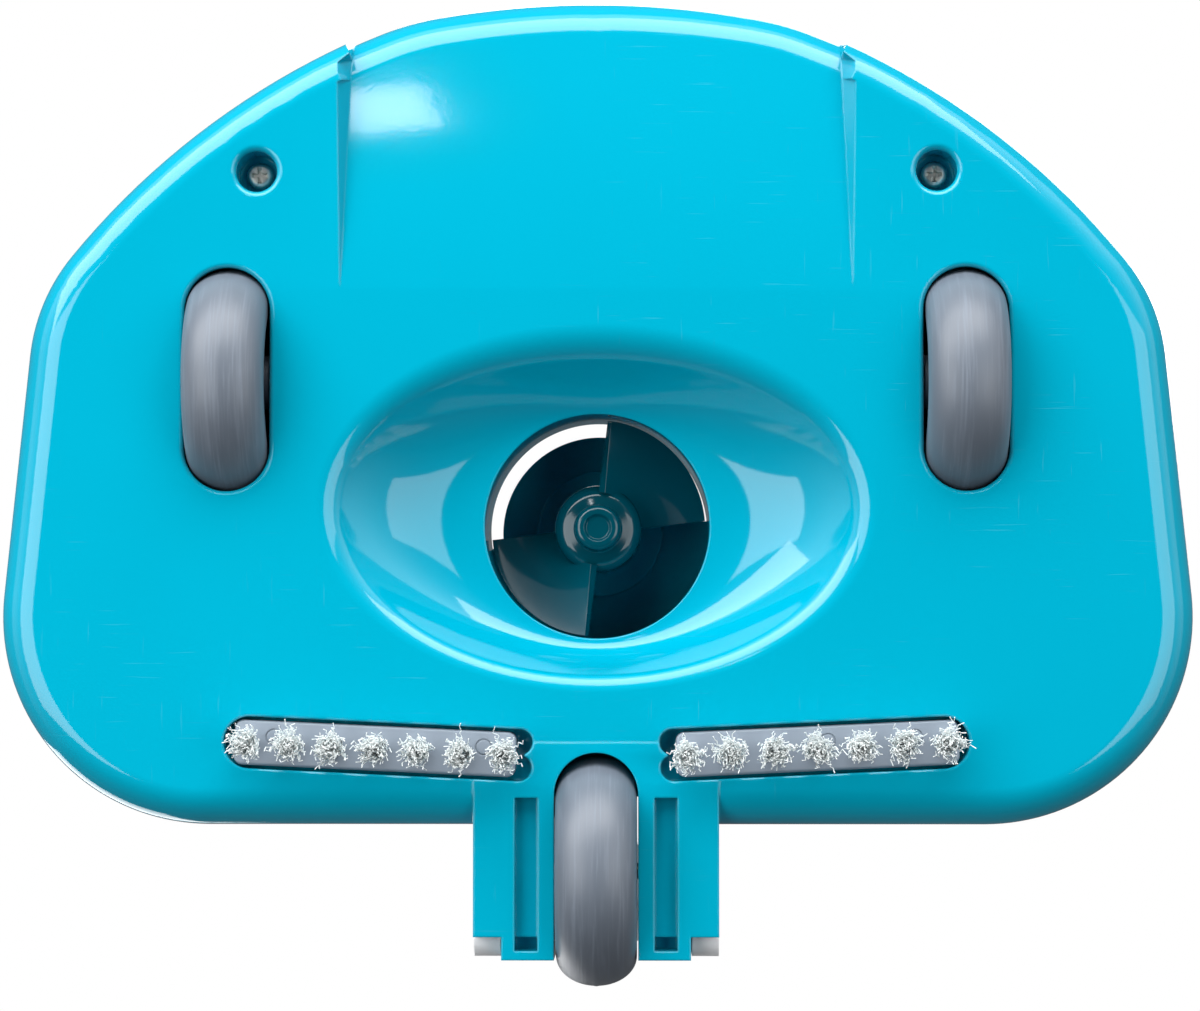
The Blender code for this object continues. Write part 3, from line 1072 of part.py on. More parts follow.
def pole_yoke():
    """Two round eyes, two legs, a bridge over the rear wheel and a spigot for the pole."""
    pivot = (0, YOKE_PIVOT_Y, YOKE_PIVOT_HEIGHT)
    bridge_low = YOKE_BRIDGE_HEIGHT - YOKE_PIVOT_HEIGHT
    bridge_high = bridge_low + YOKE_BRIDGE_THICK
    half = ARM_SPAN / 2
    back, front = YOKE_EYE_RADIUS, -SPIGOT_FORWARD - YOKE_BRIDGE_LENGTH / 2
    outline = rounded_rectangle(2 * half, back - front, 3 * MM)
    middle = (back + front) / 2
    yoke = slab("pole_yoke", [(x, y + middle) for x, y in outline], bridge_low, bridge_high,
                top_fillet=1.5 * MM, steps=2, place=pivot)
    for side, name in ((-1, "left"), (1, "right")):
        low, high = sorted((side * YOKE_INNER_X, side * half))
        eye = cylinder("yoke_eye_" + name, YOKE_EYE_RADIUS, low, high, pivot, "X", 28)
        inset = 0.02 * MM
        foot, head = YOKE_EYE_RADIUS - inset, -SPIGOT_FORWARD
        corners = [(-foot, 0.0), (foot, 0.0), (back - inset, bridge_low + 1 * MM),
                   (head, bridge_low + 1 * MM)]
        rings = [[(x, y, z) for y, z in corners] for x in (low + inset, high - inset)]
        join(yoke, eye, loft("yoke_leg_" + name, rings, pivot))
    radius = SPIGOT_DIAMETER / 2
    top = bridge_high + SPIGOT_LENGTH
    spigot_at = (0, YOKE_PIVOT_Y - SPIGOT_FORWARD, YOKE_PIVOT_HEIGHT)
    spigot = turned("spigot", [(0.0, top), (radius - 1.5 * MM, top), (radius, top - 1.5 * MM),
                               (radius, bridge_low + 2 * MM), (0.0, bridge_low + 2 * MM)], 40,
                    spigot_at)
    join(yoke, spigot)
    cut(yoke, cylinder("spigot_bore", radius - SPIGOT_WALL, bridge_low + 4 * MM, top + OVERCUT,
                       spigot_at, sides=32))
    button_at = (0, spigot_at[1], YOKE_PIVOT_HEIGHT + bridge_high + CLIP_HEIGHT)
    cut(yoke, cylinder("clip_holes", CLIP_BUTTON_DIAMETER / 2 + GAP, -2 * radius, 2 * radius,
                       button_at, "X", 20))
    cut(yoke, cylinder("yoke_pin_way", YOKE_PIN_DIAMETER / 2 + GAP, -half - OVERCUT,
                       half + OVERCUT, pivot, "X", 16))
    finish(yoke, "white")
    for side, name in ((-1, "left"), (1, "right")):
        low, high = sorted((side * (ARM_INNER_X + 3 * MM + GAP), side * (half - GAP)))
        finish(cylinder("yoke_pin_" + name, YOKE_PIN_DIAMETER / 2, low, high, pivot, "X", 16),
               "steel")
    clip_buttons(button_at, radius, bridge_low + 4 * MM + YOKE_PIVOT_HEIGHT)


def clip_buttons(place, radius, bore_floor):
    """The snap buttons that hold the pole, and the bent leaf that pushes them out."""
    inner = radius - SPIGOT_WALL - 2.2 * MM
    tip = radius + CLIP_BUTTON_PROUD
    button = CLIP_BUTTON_DIAMETER / 2
    for side, name in ((-1, "left"), (1, "right")):
        profile = [(0.0, tip), (button - 1.5 * MM, tip), (button, tip - 1.5 * MM), (button, inner),
                   (0.0, inner)]
        item = turned("clip_button_" + name, profile, 20, place, "X")
        if side < 0:
            item.rotation_euler.y = -math.pi / 2
        finish(item, "steel")
    leaf = 0.8 * MM
    half_width = 4 * MM
    low = bore_floor + 1 * MM
    high = place[2] - button - 1.5 * MM
    reach, foot = inner + 0.6 * MM, 3 * MM
    outer = [(foot, low), (reach, high), (reach - leaf, high), (foot - leaf / 2, low + 2 * leaf)]
    outline = outer + [(-x, z) for x, z in reversed(outer)]
    rings = [[(x, y, z) for x, z in outline] for y in (-half_width, half_width)]
    finish(loft("clip_spring", rings, (0, place[1], 0)), "steel")


# ---------------------------------------------------------------- screws

def screw(name, length, place, head_down):
    """A pan-head screw with a cross recess; its origin is under its head."""
    head, thick, shank = SCREW_HEAD / 2, SCREW_HEAD_THICK, SCREW_SHANK / 2
    profile = [(0.0, thick), (head * 0.6, thick), (head, thick * 0.5), (head, 0.0), (shank, 0.0),
               (shank, 2 * MM - length), (0.0, -length)]
    item = turned(name, profile, 12, place)
    recess = 1.3 * MM
    wide, thin = head * 0.55, head * 0.13
    bars = [box("%s_bar_%d" % (name, i), (-a, -b, thick - recess), (a, b, thick + OVERCUT),
                parent=item) for i, (a, b) in enumerate(((wide, thin), (thin, wide)))]
    join(bars[0], bars[1])
    cut(item, bars[0])
    if head_down:
        item.rotation_euler.x = math.pi
    finish(item, "steel")


def screws():
    seat = GROUND_CLEARANCE + COUNTERBORE_DEPTH - GAP
    for side, name in ((-1, "left"), (1, "right")):
        screw("underside_screw_" + name, UNDER_SCREW_LENGTH,
              (UNDER_SCREW_X * side, UNDER_SCREW_Y, seat), True)
        x, y, _ = flange_screw_place(side)
        screw("flange_screw_" + name, LID_SCREW_LENGTH,
              (x, y, DECK_SEAT + FLANGE_THICK + GAP), False)
    for name, x, y in lid_screw_places():
        screw("lid_screw_" + name, LID_SCREW_LENGTH, (x, y, LID_TOP + GAP), False)


# ---------------------------------------------------------------- the whole head

clear_scene()
PARTS = make_collection("pool_cleaner")
CUTTERS = make_collection("cutters")
MATERIALS = {name: make_material(name) for name in COLOURS}
ROOT = bpy.data.objects.new("head_frame", None)
ROOT.location = (0, -HEAD_LENGTH / 2, 0)
PARTS.objects.link(ROOT)

lower_housing()
top_cover()
wheels()
brushes()
impeller()
motor()
outlet_housing()
motor_cap()
battery_lid()
power_pack()
power_button()
charge_port()
motor_leads()
pole_yoke()
screws()
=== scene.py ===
"""Looks of a battery leaf vacuum head for pools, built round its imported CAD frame.

X is the head's width, the front lip points to -Y and +Z is up. Pieces are shaped with y = 0 at the
front lip and are moved to the middle of the head's length when they are finished.
"""

import math
import random

import bmesh
import bpy
from mathutils import Matrix, Vector


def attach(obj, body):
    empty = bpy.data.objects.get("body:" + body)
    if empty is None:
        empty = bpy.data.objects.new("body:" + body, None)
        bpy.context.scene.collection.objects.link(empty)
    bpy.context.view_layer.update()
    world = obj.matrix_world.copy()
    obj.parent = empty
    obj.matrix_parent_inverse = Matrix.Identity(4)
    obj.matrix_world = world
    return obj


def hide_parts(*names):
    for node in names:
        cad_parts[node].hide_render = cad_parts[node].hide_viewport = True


bl_info = {
    "name": "Pool vacuum head",
    "version": (1, 0, 0),
    "blender": (4, 5, 0),
    "location": "3D View > Sidebar > Pool head",
    "description": "Visible pieces, finishes, floor, lights and camera of a pool vacuum head",
    "category": "Object",
}

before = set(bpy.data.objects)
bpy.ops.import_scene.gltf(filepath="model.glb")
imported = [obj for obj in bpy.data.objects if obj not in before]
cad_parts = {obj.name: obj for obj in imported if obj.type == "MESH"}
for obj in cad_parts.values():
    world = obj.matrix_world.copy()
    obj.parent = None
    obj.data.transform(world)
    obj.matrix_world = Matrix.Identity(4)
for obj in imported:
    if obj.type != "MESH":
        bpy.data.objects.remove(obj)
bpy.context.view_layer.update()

MM = 0.001
WELD = 0.00001
GAP = 0.3 * MM
OVERCUT = 2 * MM
SIDES = (-1, 1)

BODY_WIDTH, BODY_LENGTH = 303 * MM, 211.4 * MM
NOSE_RADIUS, BROW_RADIUS, HIP_RADIUS, TAIL_RADIUS = 235 * MM, 72 * MM, 48 * MM, 53 * MM
NOSE_ANGLE, BROW_ANGLE, SHOULDER_ANGLE, HIP_ANGLE, TAIL_ANGLE = 10.0, 22.0, 51.0, 84.3, 180.0
OUTLINE_TURN, OUTLINE_CHORD = 2.5, 5 * MM
GROUND_CLEARANCE, PARTING_HEIGHT, DECK_HEIGHT = 17 * MM, 42 * MM, 64 * MM
WALL = 2.5 * MM
UNDER_FILLET, UNDER_FILLET_INSIDE, DECK_FILLET, DECK_FILLET_INSIDE = 9.5 * MM, 7 * MM, 14 * MM, 11.5 * MM
RAMP_WIDTH, RAMP_LENGTH, RAMP_RISE = 130 * MM, 75.4 * MM, 8 * MM
RAMP_FOOT_FLARE, RAMP_TOP_FLARE = 1.2 * MM, 3.0 * MM
BOWL_WIDTH, BOWL_LENGTH, BOWL_DEPTH, BOWL_LEAD = 142.4 * MM, 93.4 * MM, 19 * MM, 4 * MM
BOWL_RIM_REAR, BOWL_RIM_SIDE, BOWL_RIM_FRONT, BOWL_RIM_ANGLE = 5 * MM, 8.5 * MM, 11 * MM, 54.0
BOWL_HOLLOW, BOWL_HOLLOW_FRONT = 2.2, 1.3
THROAT_BORE, THROAT_TOP = 58 * MM, 74 * MM
WHEEL_DIAMETER, WHEEL_WIDTH, WHEEL_SIDE_GAP, WHEEL_END_GAP = 58.3 * MM, 20.5 * MM, 0.6 * MM, 1.2 * MM
FRONT_WHEEL_X, FRONT_WHEEL_Y, REAR_WHEEL_Y = 93.7 * MM, 98.6 * MM, 223.4 * MM
AXLE_DIAMETER, AXLE_BEARING_WALL, AXLE_HEIGHT = 4 * MM, 3 * MM, 29.15 * MM
SLOT_RIM, SLOT_END_CLIP = 1.2 * MM, 0.7 * MM
BRUSH_LENGTH, BRUSH_WIDTH, BRUSH_CORNER, BRUSH_THICK = 72 * MM, 11.4 * MM, 2.2 * MM, 6 * MM
BRUSH_SINK, BRUSH_SIDE_GAP, BRUSH_END_GAP, TONGUE = 0.8 * MM, 0.85 * MM, 2.6 * MM, 0.6 * MM
BRUSH_X, BRUSH_Y, BRUSH_TILT = 55.4 * MM, 192 * MM, 2.7
TUFTS, TUFT_PITCH, TUFT_ROOT, TUFT_OFF_GROUND = 7, 10.8 * MM, 4 * MM, 1.5 * MM
ARM_SPAN, ARM_END_Y, ARM_INNER_X, ARM_FACE_X = 61.9 * MM, 245.1 * MM, 10.85 * MM, 10.6 * MM
ARM_CORNER, REAR_AXLE_END, YOKE_PIN_START = MM, ARM_INNER_X + 11 * MM, ARM_INNER_X + 3 * MM
ARM_CORE_WIDTH, ARM_CORE_LENGTH, ARM_CORE_DEPTH = 5.7 * MM, 38.4 * MM, 3.5 * MM
ARM_CORE_X, ARM_CORE_END, ARM_POCKET_LENGTH, ARM_POCKET_DEPTH = 17.6 * MM, 2.3 * MM, 3.3 * MM, 7 * MM
EYE_RADIUS, PIVOT_HEIGHT, PIN_DIAMETER = 5.5 * MM, 27.5 * MM, 4 * MM
PIVOT_Y, YOKE_INNER_X, BRIDGE_HEIGHT = 239.3 * MM, 24.15 * MM, 75.135 * MM
LEG_ROOM, BRIDGE_THICK, BRIDGE_LENGTH = 2 * MM, 9 * MM, 24 * MM
SPIGOT_FORWARD, SPIGOT_DIAMETER, SPIGOT_WALL, SPIGOT_LENGTH = 8 * MM, 28.6 * MM, 2.6 * MM, 68 * MM
CLIP_DIAMETER, CLIP_PROUD, CLIP_HEIGHT = 7 * MM, 4.2 * MM, 48 * MM
SCREW_HEAD, SCREW_THICK, SCREW_SHANK = 6.7 * MM, 2.4 * MM, 3.2 * MM
UNDER_SCREW_X, UNDER_SCREW_Y, UNDER_SCREW_LENGTH = 86.4 * MM, 45.6 * MM, 20 * MM
COUNTERBORE, COUNTERBORE_DEPTH, COUNTERBORE_RIM = 10.4 * MM, 11 * MM, 1.6 * MM
BOSS_WALL, LID_SCREW_LENGTH = 2.4 * MM, 12 * MM
THROAT_Y = 135.2 * MM
BOWL_Y = THROAT_Y - BOWL_LEAD
HUB_DIAMETER, HUB_NOSE_HEIGHT = 23 * MM, 45 * MM
BLADE_LOW, BLADE_HIGH, BLADE_THICK, BLADE_LEAD, BLADE_SWEEP = 51 * MM, 66 * MM, 2.4 * MM, -84.0, 78.0
BLADE_TIP_GAP, SHAFT_DIAMETER = 0.6 * MM, 3.2 * MM
RING_BORE, RING_WALL, RING_HEIGHT, RING_BEAD = 78 * MM, 3 * MM, 106 * MM, 2.2 * MM
FLANGE_FILLET, FLANGE_REACH, FLANGE_THICK = 2 * MM, 10.5 * MM, 3.2 * MM
CUP_DIAMETER, CUP_WALL, CUP_BASE, CUP_RIM, CUP_FLOOR = 53 * MM, 3 * MM, 90 * MM, 112 * MM, 3.5 * MM
CUP_BOSS_DIAMETER, CUP_BOSS_DROP = 34 * MM, 3 * MM
SHELF_THICK, SHELF_FRONT_LEFT, SHELF_FRONT_RIGHT, CAP_HEIGHT = 8 * MM, 4 * MM, -3.5 * MM, 140 * MM
DECK_SEAT = DECK_HEIGHT + GAP
TUB_WIDTH, TUB_LENGTH, TUB_TOP, TUB_Y, TUB_CORNER, TUB_NECK = (
    164 * MM, 26 * MM, 97 * MM, 192.4 * MM, 7 * MM, 40 * MM)
TUB_FLOOR = DECK_SEAT + CUP_WALL
LID_BOTTOM, LID_TOP = 98.6 * MM, 101.6 * MM
CELL_HEIGHT = 76.7 * MM
BUTTON_DIAMETER, BUTTON_PROUD = 16 * MM, 2.4 * MM
JACK_BORE = 5.5 * MM
PORT_CAP_DIAMETER, PORT_CAP_THICK, PORT_RISE, PORT_OUT = 13 * MM, 2.4 * MM, 8.5 * MM, 2 * MM
EAR_RISE, EAR_REACH, EAR_THICK, KNUCKLE_HALF = 1.8 * MM, 1.6 * MM, 2 * MM, 2.5 * MM
FLOOR_TOP = GROUND_CLEARANCE + WALL
WELL_HALF_WIDTH = WHEEL_WIDTH / 2 + WHEEL_SIDE_GAP
WELL_HALF_LENGTH = WHEEL_DIAMETER / 2 + WHEEL_END_GAP
RING_RADIUS = RING_BORE / 2 + RING_WALL
CAMERA_PLACE, CAMERA_TARGET = (0.0129, 0.0448, -0.843), (0.0010, 0.0045, 0.017)
TO_MIDDLE = Matrix.Translation((0, -(REAR_WHEEL_Y + WHEEL_DIAMETER / 2) / 2, 0))


# ---------------------------------------------------------------- shader expressions

class Tone:
    """A shader value; arithmetic on it adds Math nodes to its material."""

    def __init__(self, finish, socket):
        self.finish, self.socket = finish, socket

    def math(self, operation, first, second):
        return self.finish.add("ShaderNodeMath", {"operation": operation}, {0: first, 1: second})

    def __add__(self, other):
        return self.math("ADD", self, other)

    def __sub__(self, other):
        return self.math("SUBTRACT", self, other)

    def __rsub__(self, other):
        return self.math("SUBTRACT", other, self)

    def __mul__(self, other):
        return self.math("MULTIPLY", self, other)

    __radd__, __rmul__ = __add__, __mul__


class Nodes:
    """The nodes of one material or of the room round the head."""

    def __init__(self, owner):
        owner.use_nodes = True
        self.tree = owner.node_tree

    def add(self, kind, settings=None, inputs=None, output=0):
        """A node of any kind: its settings first, then the values or links of its sockets."""
        node = self.tree.nodes.new(kind)
        for name, value in (settings or {}).items():
            if name == "stops":
                elements = node.color_ramp.elements
                for i, (position, shade) in enumerate(value):
                    stop = elements[i] if i < 2 else elements.new(position)
                    stop.position, stop.color = position, (shade, shade, shade, 1.0)
            else:
                setattr(node, name, value)
        for name, value in (inputs or {}).items():
            self.put(value, node.inputs[name])
        return Tone(self, node.outputs[output])

    def put(self, value, socket):
        if isinstance(value, Tone):
            self.tree.links.new(value.socket, socket)
        elif socket.type == "RGBA" and len(value) == 3:
            socket.default_value = (*value, 1.0)
        else:
            socket.default_value = value


class Finish(Nodes):
    """One material, built from its Principled shader outwards."""

    def __init__(self, name, **constants):
        self.material = bpy.data.materials.new(name)
        super().__init__(self.material)
        self.shader = self.tree.nodes["Principled BSDF"]
        for socket, value in constants.items():
            self.shader.inputs[socket.replace("_", " ")].default_value = value
        self.place = self.add("ShaderNodeTexCoord", output="Object")

    def set(self, **values):
        for name, value in values.items():
            self.put(value, self.shader.inputs[name.replace("_", " ")])

    def noise(self, scale, stretch=(1, 1, 1), detail=2.0, distortion=0.0):
        at = self.add("ShaderNodeMapping", None, {"Vector": self.place, "Scale": stretch})
        return self.add("ShaderNodeTexNoise", None, {
            "Vector": at, "Scale": scale, "Detail": detail, "Distortion": distortion})

    def spread(self, value, low, high):
        """Stretches the part of a pattern between low and high over 0 to 1."""
        return self.add("ShaderNodeMapRange", None, {"Value": value, "From Min": low, "From Max": high})

    def blend(self, share, first, second):
        return self.add("ShaderNodeMix", {"data_type": "RGBA"}, {0: share, 6: first, 7: second}, 2)

    def bump(self, height, distance, strength=1.0, soft_edge=0.0):
        inputs = {"Height": height, "Distance": distance, "Strength": strength}
        if soft_edge:
            inputs["Normal"] = self.add("ShaderNodeBevel", {"samples": 4}, {"Radius": soft_edge})
        self.set(Normal=self.add("ShaderNodeBump", None, inputs))


def shaded(colour, factor):
    return tuple(min(1.0, part * factor) for part in colour)


def moulded_plastic(name, colour, gloss, soft_edge, wear):
    """Injection-moulded plastic: faint flow tone, orange peel and hairline scratches."""
    finish = Finish(name, IOR=1.5)
    flow = finish.noise(9.0, detail=3.0, distortion=0.6)
    hairs = finish.spread(finish.noise(55.0, (1.0, 26.0, 1.0), 3.0), 0.66, 0.74)
    cross = finish.spread(finish.noise(48.0, (22.0, 1.3, 1.0), 3.0), 0.68, 0.76)
    scratches = (hairs + cross) * finish.spread(finish.noise(14.0), 0.48, 0.66)
    tone = finish.blend(flow, shaded(colour, 0.95), shaded(colour, 1.04))
    pale = tuple(0.75 * part + 0.25 for part in colour)
    finish.set(Base_Color=finish.blend(scratches * (wear * 0.05), tone, pale),
               Roughness=gloss + flow * 0.03 + scratches * (wear * 0.10))
    peel = finish.noise(850.0, detail=1.0) * 0.5 + finish.noise(160.0, detail=1.0)
    finish.bump(peel - scratches * 0.15, 0.000012 * (1 + gloss), 0.6, soft_edge)
    return finish


def wheel_rubber(name, colour):
    """Grey moulded wheel: turning scuffs round the tread, soft dirt and a satin skin."""
    finish = Finish(name, IOR=1.48)
    fine = finish.noise(60.0, (28.0, 1.0, 1.0), 4.0)
    wide = finish.noise(22.0, (9.0, 1.0, 1.0), 3.0)
    scuff = finish.spread(fine * 0.6 + wide * 0.4, 0.50, 0.66)
    dirt = finish.spread(finish.noise(45.0, detail=5.0), 0.55, 0.75)
    tone = finish.blend(scuff, shaded(colour, 0.90), shaded(colour, 1.18))
    finish.set(Base_Color=finish.blend(dirt * 0.25, tone, shaded(colour, 0.6)),
               Roughness=0.40 + scuff * 0.14 + dirt * 0.1)
    finish.bump(scuff + finish.noise(700.0) * 0.3, 0.00003, 0.5, 0.0004)
    return finish


def bristle_nylon(name, colour):
    finish = Finish(name, IOR=1.5, Transmission_Weight=0.12)
    along = finish.noise(900.0, detail=2.0)
    finish.set(Base_Color=finish.blend(along, shaded(colour, 0.86), shaded(colour, 1.08)),
               Roughness=0.30 + along * 0.15)
    finish.bump(along, 0.00001, 0.5)
    return finish


def bright_metal(name, colour, brushed, rough):
    """Plated or drawn metal with fine tool marks and a few dull spots."""
    finish = Finish(name, Metallic=1.0)
    marks = finish.noise(260.0, brushed, 3.0)
    spots = finish.spread(finish.noise(420.0, detail=4.0), 0.56, 0.72)
    finish.set(Base_Color=finish.blend(spots, colour, shaded(colour, 0.62)),
               Roughness=rough + marks * 0.16 + spots * 0.14)
    finish.bump(marks, 0.00002, 0.5, 0.0002)
    return finish


def soft_rubber(name, colour):
    finish = Finish(name, IOR=1.52)
    grain = finish.noise(1200.0, detail=3.0)
    bloom = finish.noise(120.0, detail=3.0)
    finish.set(Base_Color=finish.blend(bloom, colour, shaded(colour, 1.8)),
               Roughness=0.62 + grain * 0.2)
    finish.bump(grain, 0.00003, 0.6)
    return finish


def printed_board(name, colour):
    """Green lacquered board with copper tracks under the lacquer."""
    finish = Finish(name, IOR=1.5)
    tracks = finish.add("ShaderNodeTexVoronoi", {"distance": "CHEBYCHEV", "feature": "DISTANCE_TO_EDGE"}, {
        "Vector": finish.place, "Scale": 420.0})
    lines = finish.spread(tracks, 0.04, 0.08)
    finish.set(Base_Color=finish.blend(lines, (0.05, 0.34, 0.14), colour), Roughness=0.3 + lines * 0.1)
    finish.bump(lines, 0.00003, 0.5)
    return finish


def finishes(sizes):
    """Every finish of the head by its slot name."""
    turquoise, grey, white = (tuple(c) for c in (sizes.turquoise, sizes.wheel_grey, sizes.white))
    return {
        "turquoise_plastic": moulded_plastic("turquoise_plastic", turquoise, 0.05, 0.0008, 1.0),
        # the rotor is the shell turquoise darkened to 18%: painted shade of the deep throat it turns in
        "rotor_plastic_painted_shade": moulded_plastic("rotor_plastic_painted_shade", shaded(turquoise, 0.18), 0.08, 0.0003, 0.4),
        "white_plastic": moulded_plastic("white_plastic", white, 0.28, 0.0005, 0.5),
        "wheel_grey": wheel_rubber("wheel_grey", grey),
        "plate_grey": moulded_plastic("plate_grey", tuple(sizes.plate_grey), 0.36, 0.0004, 0.8),
        "bristle": bristle_nylon("bristle", (0.90, 0.94, 0.93)),
        "steel": bright_metal("steel", (0.62, 0.62, 0.58), (1, 1, 6), 0.26),
        "rubber": soft_rubber("rubber", (0.02, 0.02, 0.021)),
        "cell_wrap": moulded_plastic("cell_wrap", (0.05, 0.18, 0.45), 0.3, 0.0, 0.3),
        "board": printed_board("board", (0.015, 0.16, 0.06)),
        "dark_plastic": moulded_plastic("dark_plastic", (0.03, 0.03, 0.035), 0.4, 0.0003, 0.6),
        "red_insulation": soft_rubber("red_insulation", (0.5, 0.02, 0.02)),
    }


FINISHES = {}


# ---------------------------------------------------------------- modelling by operators

def deselect():
    bpy.ops.object.select_all(action="DESELECT")


def named(name):
    item = bpy.context.object
    item.name = item.data.name = name
    return item


def linked(name, data):
    item = bpy.data.objects.new(name, data)
    bpy.context.scene.collection.objects.link(item)
    return item


def activate(item):
    """Selects one piece alone and makes it the active one."""
    deselect()
    item.select_set(True)
    bpy.context.view_layer.objects.active = item


def face_outwards():
    """Turns the active piece's faces outwards."""
    bpy.ops.object.mode_set(mode="EDIT")
    bpy.ops.mesh.select_all(action="SELECT")
    bpy.ops.mesh.normals_make_consistent(inside=False)
    bpy.ops.object.mode_set(mode="OBJECT")


def settle(item, place=(0, 0, 0), turn=0.0, axis="Z"):
    """Puts a piece made about the origin in its place and applies that to its mesh."""
    lay = {"Z": Matrix.Identity(4), "X": Matrix.Rotation(math.pi / 2, 4, "Y"),
           "Y": Matrix.Rotation(-math.pi / 2, 4, "X")}[axis]
    item.matrix_world = (Matrix.Translation(place) @ Matrix.Rotation(math.radians(turn), 4, "Z")
                         @ lay @ item.matrix_world)
    activate(item)
    bpy.ops.object.transform_apply(location=True, rotation=True, scale=True)
    return item


def select_edges(item, wanted):
    """Selects the edges whose two ends pass a test, in edit mode."""
    bpy.ops.mesh.select_mode(type="EDGE")
    bpy.ops.mesh.select_all(action="DESELECT")
    mesh = bmesh.from_edit_mesh(item.data)
    for edge in mesh.edges:
        if wanted(edge.verts[0].co, edge.verts[1].co):
            edge.select = True
    bmesh.update_edit_mesh(item.data)


def block(name, low, high, place=(0, 0, 0), turn=0.0):
    low, high = Vector(low), Vector(high)
    deselect()
    bpy.ops.mesh.primitive_cube_add(size=1.0, location=(low + high) / 2, scale=high - low)
    return settle(named(name), place, turn)


def bar(name, radius, low, high, place=(0, 0, 0), axis="Z", sides=64):
    deselect()
    bpy.ops.mesh.primitive_cone_add(vertices=sides, radius1=radius, radius2=radius,
                                    depth=high - low, location=(0, 0, (low + high) / 2))
    return settle(named(name), place, 0.0, axis)


def turned(name, profile, steps=96, place=(0, 0, 0), axis="Z", closed=False):
    """A turned piece: (radius, height) points spun about the axis."""
    deselect()
    bpy.ops.mesh.primitive_circle_add(vertices=len(profile), radius=1.0)
    item = named(name)
    for vertex, (radius, height) in zip(item.data.vertices, profile):
        vertex.co = (radius, 0.0, height)
    first, last = Vector(item.data.vertices[0].co), Vector(item.data.vertices[-1].co)
    bpy.ops.object.mode_set(mode="EDIT")
    if not closed:
        ends = {first.freeze(), last.freeze()}
        select_edges(item, lambda a, b: {a.copy().freeze(), b.copy().freeze()} == ends)
        bpy.ops.mesh.delete(type="EDGE")
    bpy.ops.mesh.select_all(action="SELECT")
    bpy.ops.mesh.spin(steps=steps, angle=2 * math.pi, center=(0, 0, 0), axis=(0, 0, 1))
    bpy.ops.mesh.select_all(action="SELECT")
    bpy.ops.mesh.remove_doubles(threshold=WELD)
    bpy.ops.mesh.normals_make_consistent(inside=False)
    bpy.ops.object.mode_set(mode="OBJECT")
    return settle(item, place, 0.0, axis)


def raised(name, outline, low, high, low_fillet=0.0, high_fillet=0.0, steps=8, place=(0, 0, 0),
           turn=0.0):
    """A flat outline extruded upwards, with rounded rims."""
    deselect()
    bpy.ops.mesh.primitive_circle_add(vertices=len(outline), radius=1.0, fill_type="NGON")
    item = named(name)
    for vertex, (x, y) in zip(item.data.vertices, outline):
        vertex.co = (x, y, low)
    bpy.ops.object.mode_set(mode="EDIT")
    bpy.ops.mesh.select_all(action="SELECT")
    bpy.ops.mesh.extrude_region_move(TRANSFORM_OT_translate={"value": (0, 0, high - low)})
    bpy.ops.mesh.select_all(action="SELECT")
    bpy.ops.mesh.normals_make_consistent(inside=False)
    for height, fillet in ((low, low_fillet), (high, high_fillet)):
        if fillet:
            select_edges(item, lambda a, b: abs(a.z - height) < WELD and abs(b.z - height) < WELD)
            bpy.ops.mesh.bevel(offset=fillet, offset_type="OFFSET", segments=steps, profile=0.5,
                               affect="EDGES", clamp_overlap=True)
    bpy.ops.object.mode_set(mode="OBJECT")
    return settle(item, place, turn)


def loft(name, rings, place=(0, 0, 0), turn=0.0):
    """A solid through rings of equally many points; no primitive gives sections this unlike."""
    count = len(rings[0])
    points = [point for ring in rings for point in ring]
    faces = [tuple(range(count)), tuple(range(len(points) - count, len(points)))]
    for row in range(len(rings) - 1):
        for i in range(count):
            a, b = row * count + i, row * count + (i + 1) % count
            faces += [(a, b, b + count), (a, b + count, a + count)]
    mesh = bpy.data.meshes.new(name)
    mesh.from_pydata(points, [], faces)
    item = settle(linked(name, mesh), place, turn)
    face_outwards()
    return item


def apply(item, kind, **settings):
    """Adds a modifier with its settings and applies it."""
    modifier = item.modifiers.new("step", kind)
    for name, value in settings.items():
        setattr(modifier, name, value)
    activate(item)
    bpy.ops.object.modifier_apply(modifier=modifier.name)


def combine(target, operation, tools):
    for tool in tools:
        apply(target, "BOOLEAN", operation=operation, solver="EXACT", object=tool)
        bpy.data.objects.remove(tool)


def cut(target, *tools):
    combine(target, "DIFFERENCE", tools)


def join(target, *tools):
    combine(target, "UNION", tools)


def place_piece(item, finish, body, nodes, angle=28.0):
    """Smooths a piece, gives it its finish, and sets it on its body in place of its CAD nodes."""
    item.data.transform(TO_MIDDLE)
    activate(item)
    bpy.ops.object.shade_smooth_by_angle(angle=math.radians(angle), keep_sharp_edges=False)
    apply(item, "WEIGHTED_NORMAL", keep_sharp=True, weight=100)
    item.data.materials.clear()
    item.data.materials.append(FINISHES[finish].material)
    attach(item, body)
    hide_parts(*nodes)


def arc(centre, radius, start, end, steps):
    angles = [math.radians(start + (end - start) * i / steps) for i in range(steps + 1)]
    return [(centre[0] + radius * math.cos(a), centre[1] + radius * math.sin(a)) for a in angles]


def circle(radius, steps):
    return arc((0, 0), radius, 0, 360 - 360 / steps, steps - 1)


def rounded_rectangle(width, length, radius, steps=8):
    x, y = width / 2 - radius, length / 2 - radius
    corners = ((x, y, 0), (-x, y, 90), (-x, -y, 180), (x, -y, 270))
    return [p for cx, cy, a in corners for p in arc((cx, cy), radius, a, a + 90, steps)]


def obround(half_width, half_length):
    reach = half_length - half_width
    return arc((0, reach), half_width, 0, 180, 28) + arc((0, -reach), half_width, 180, 360, 28)


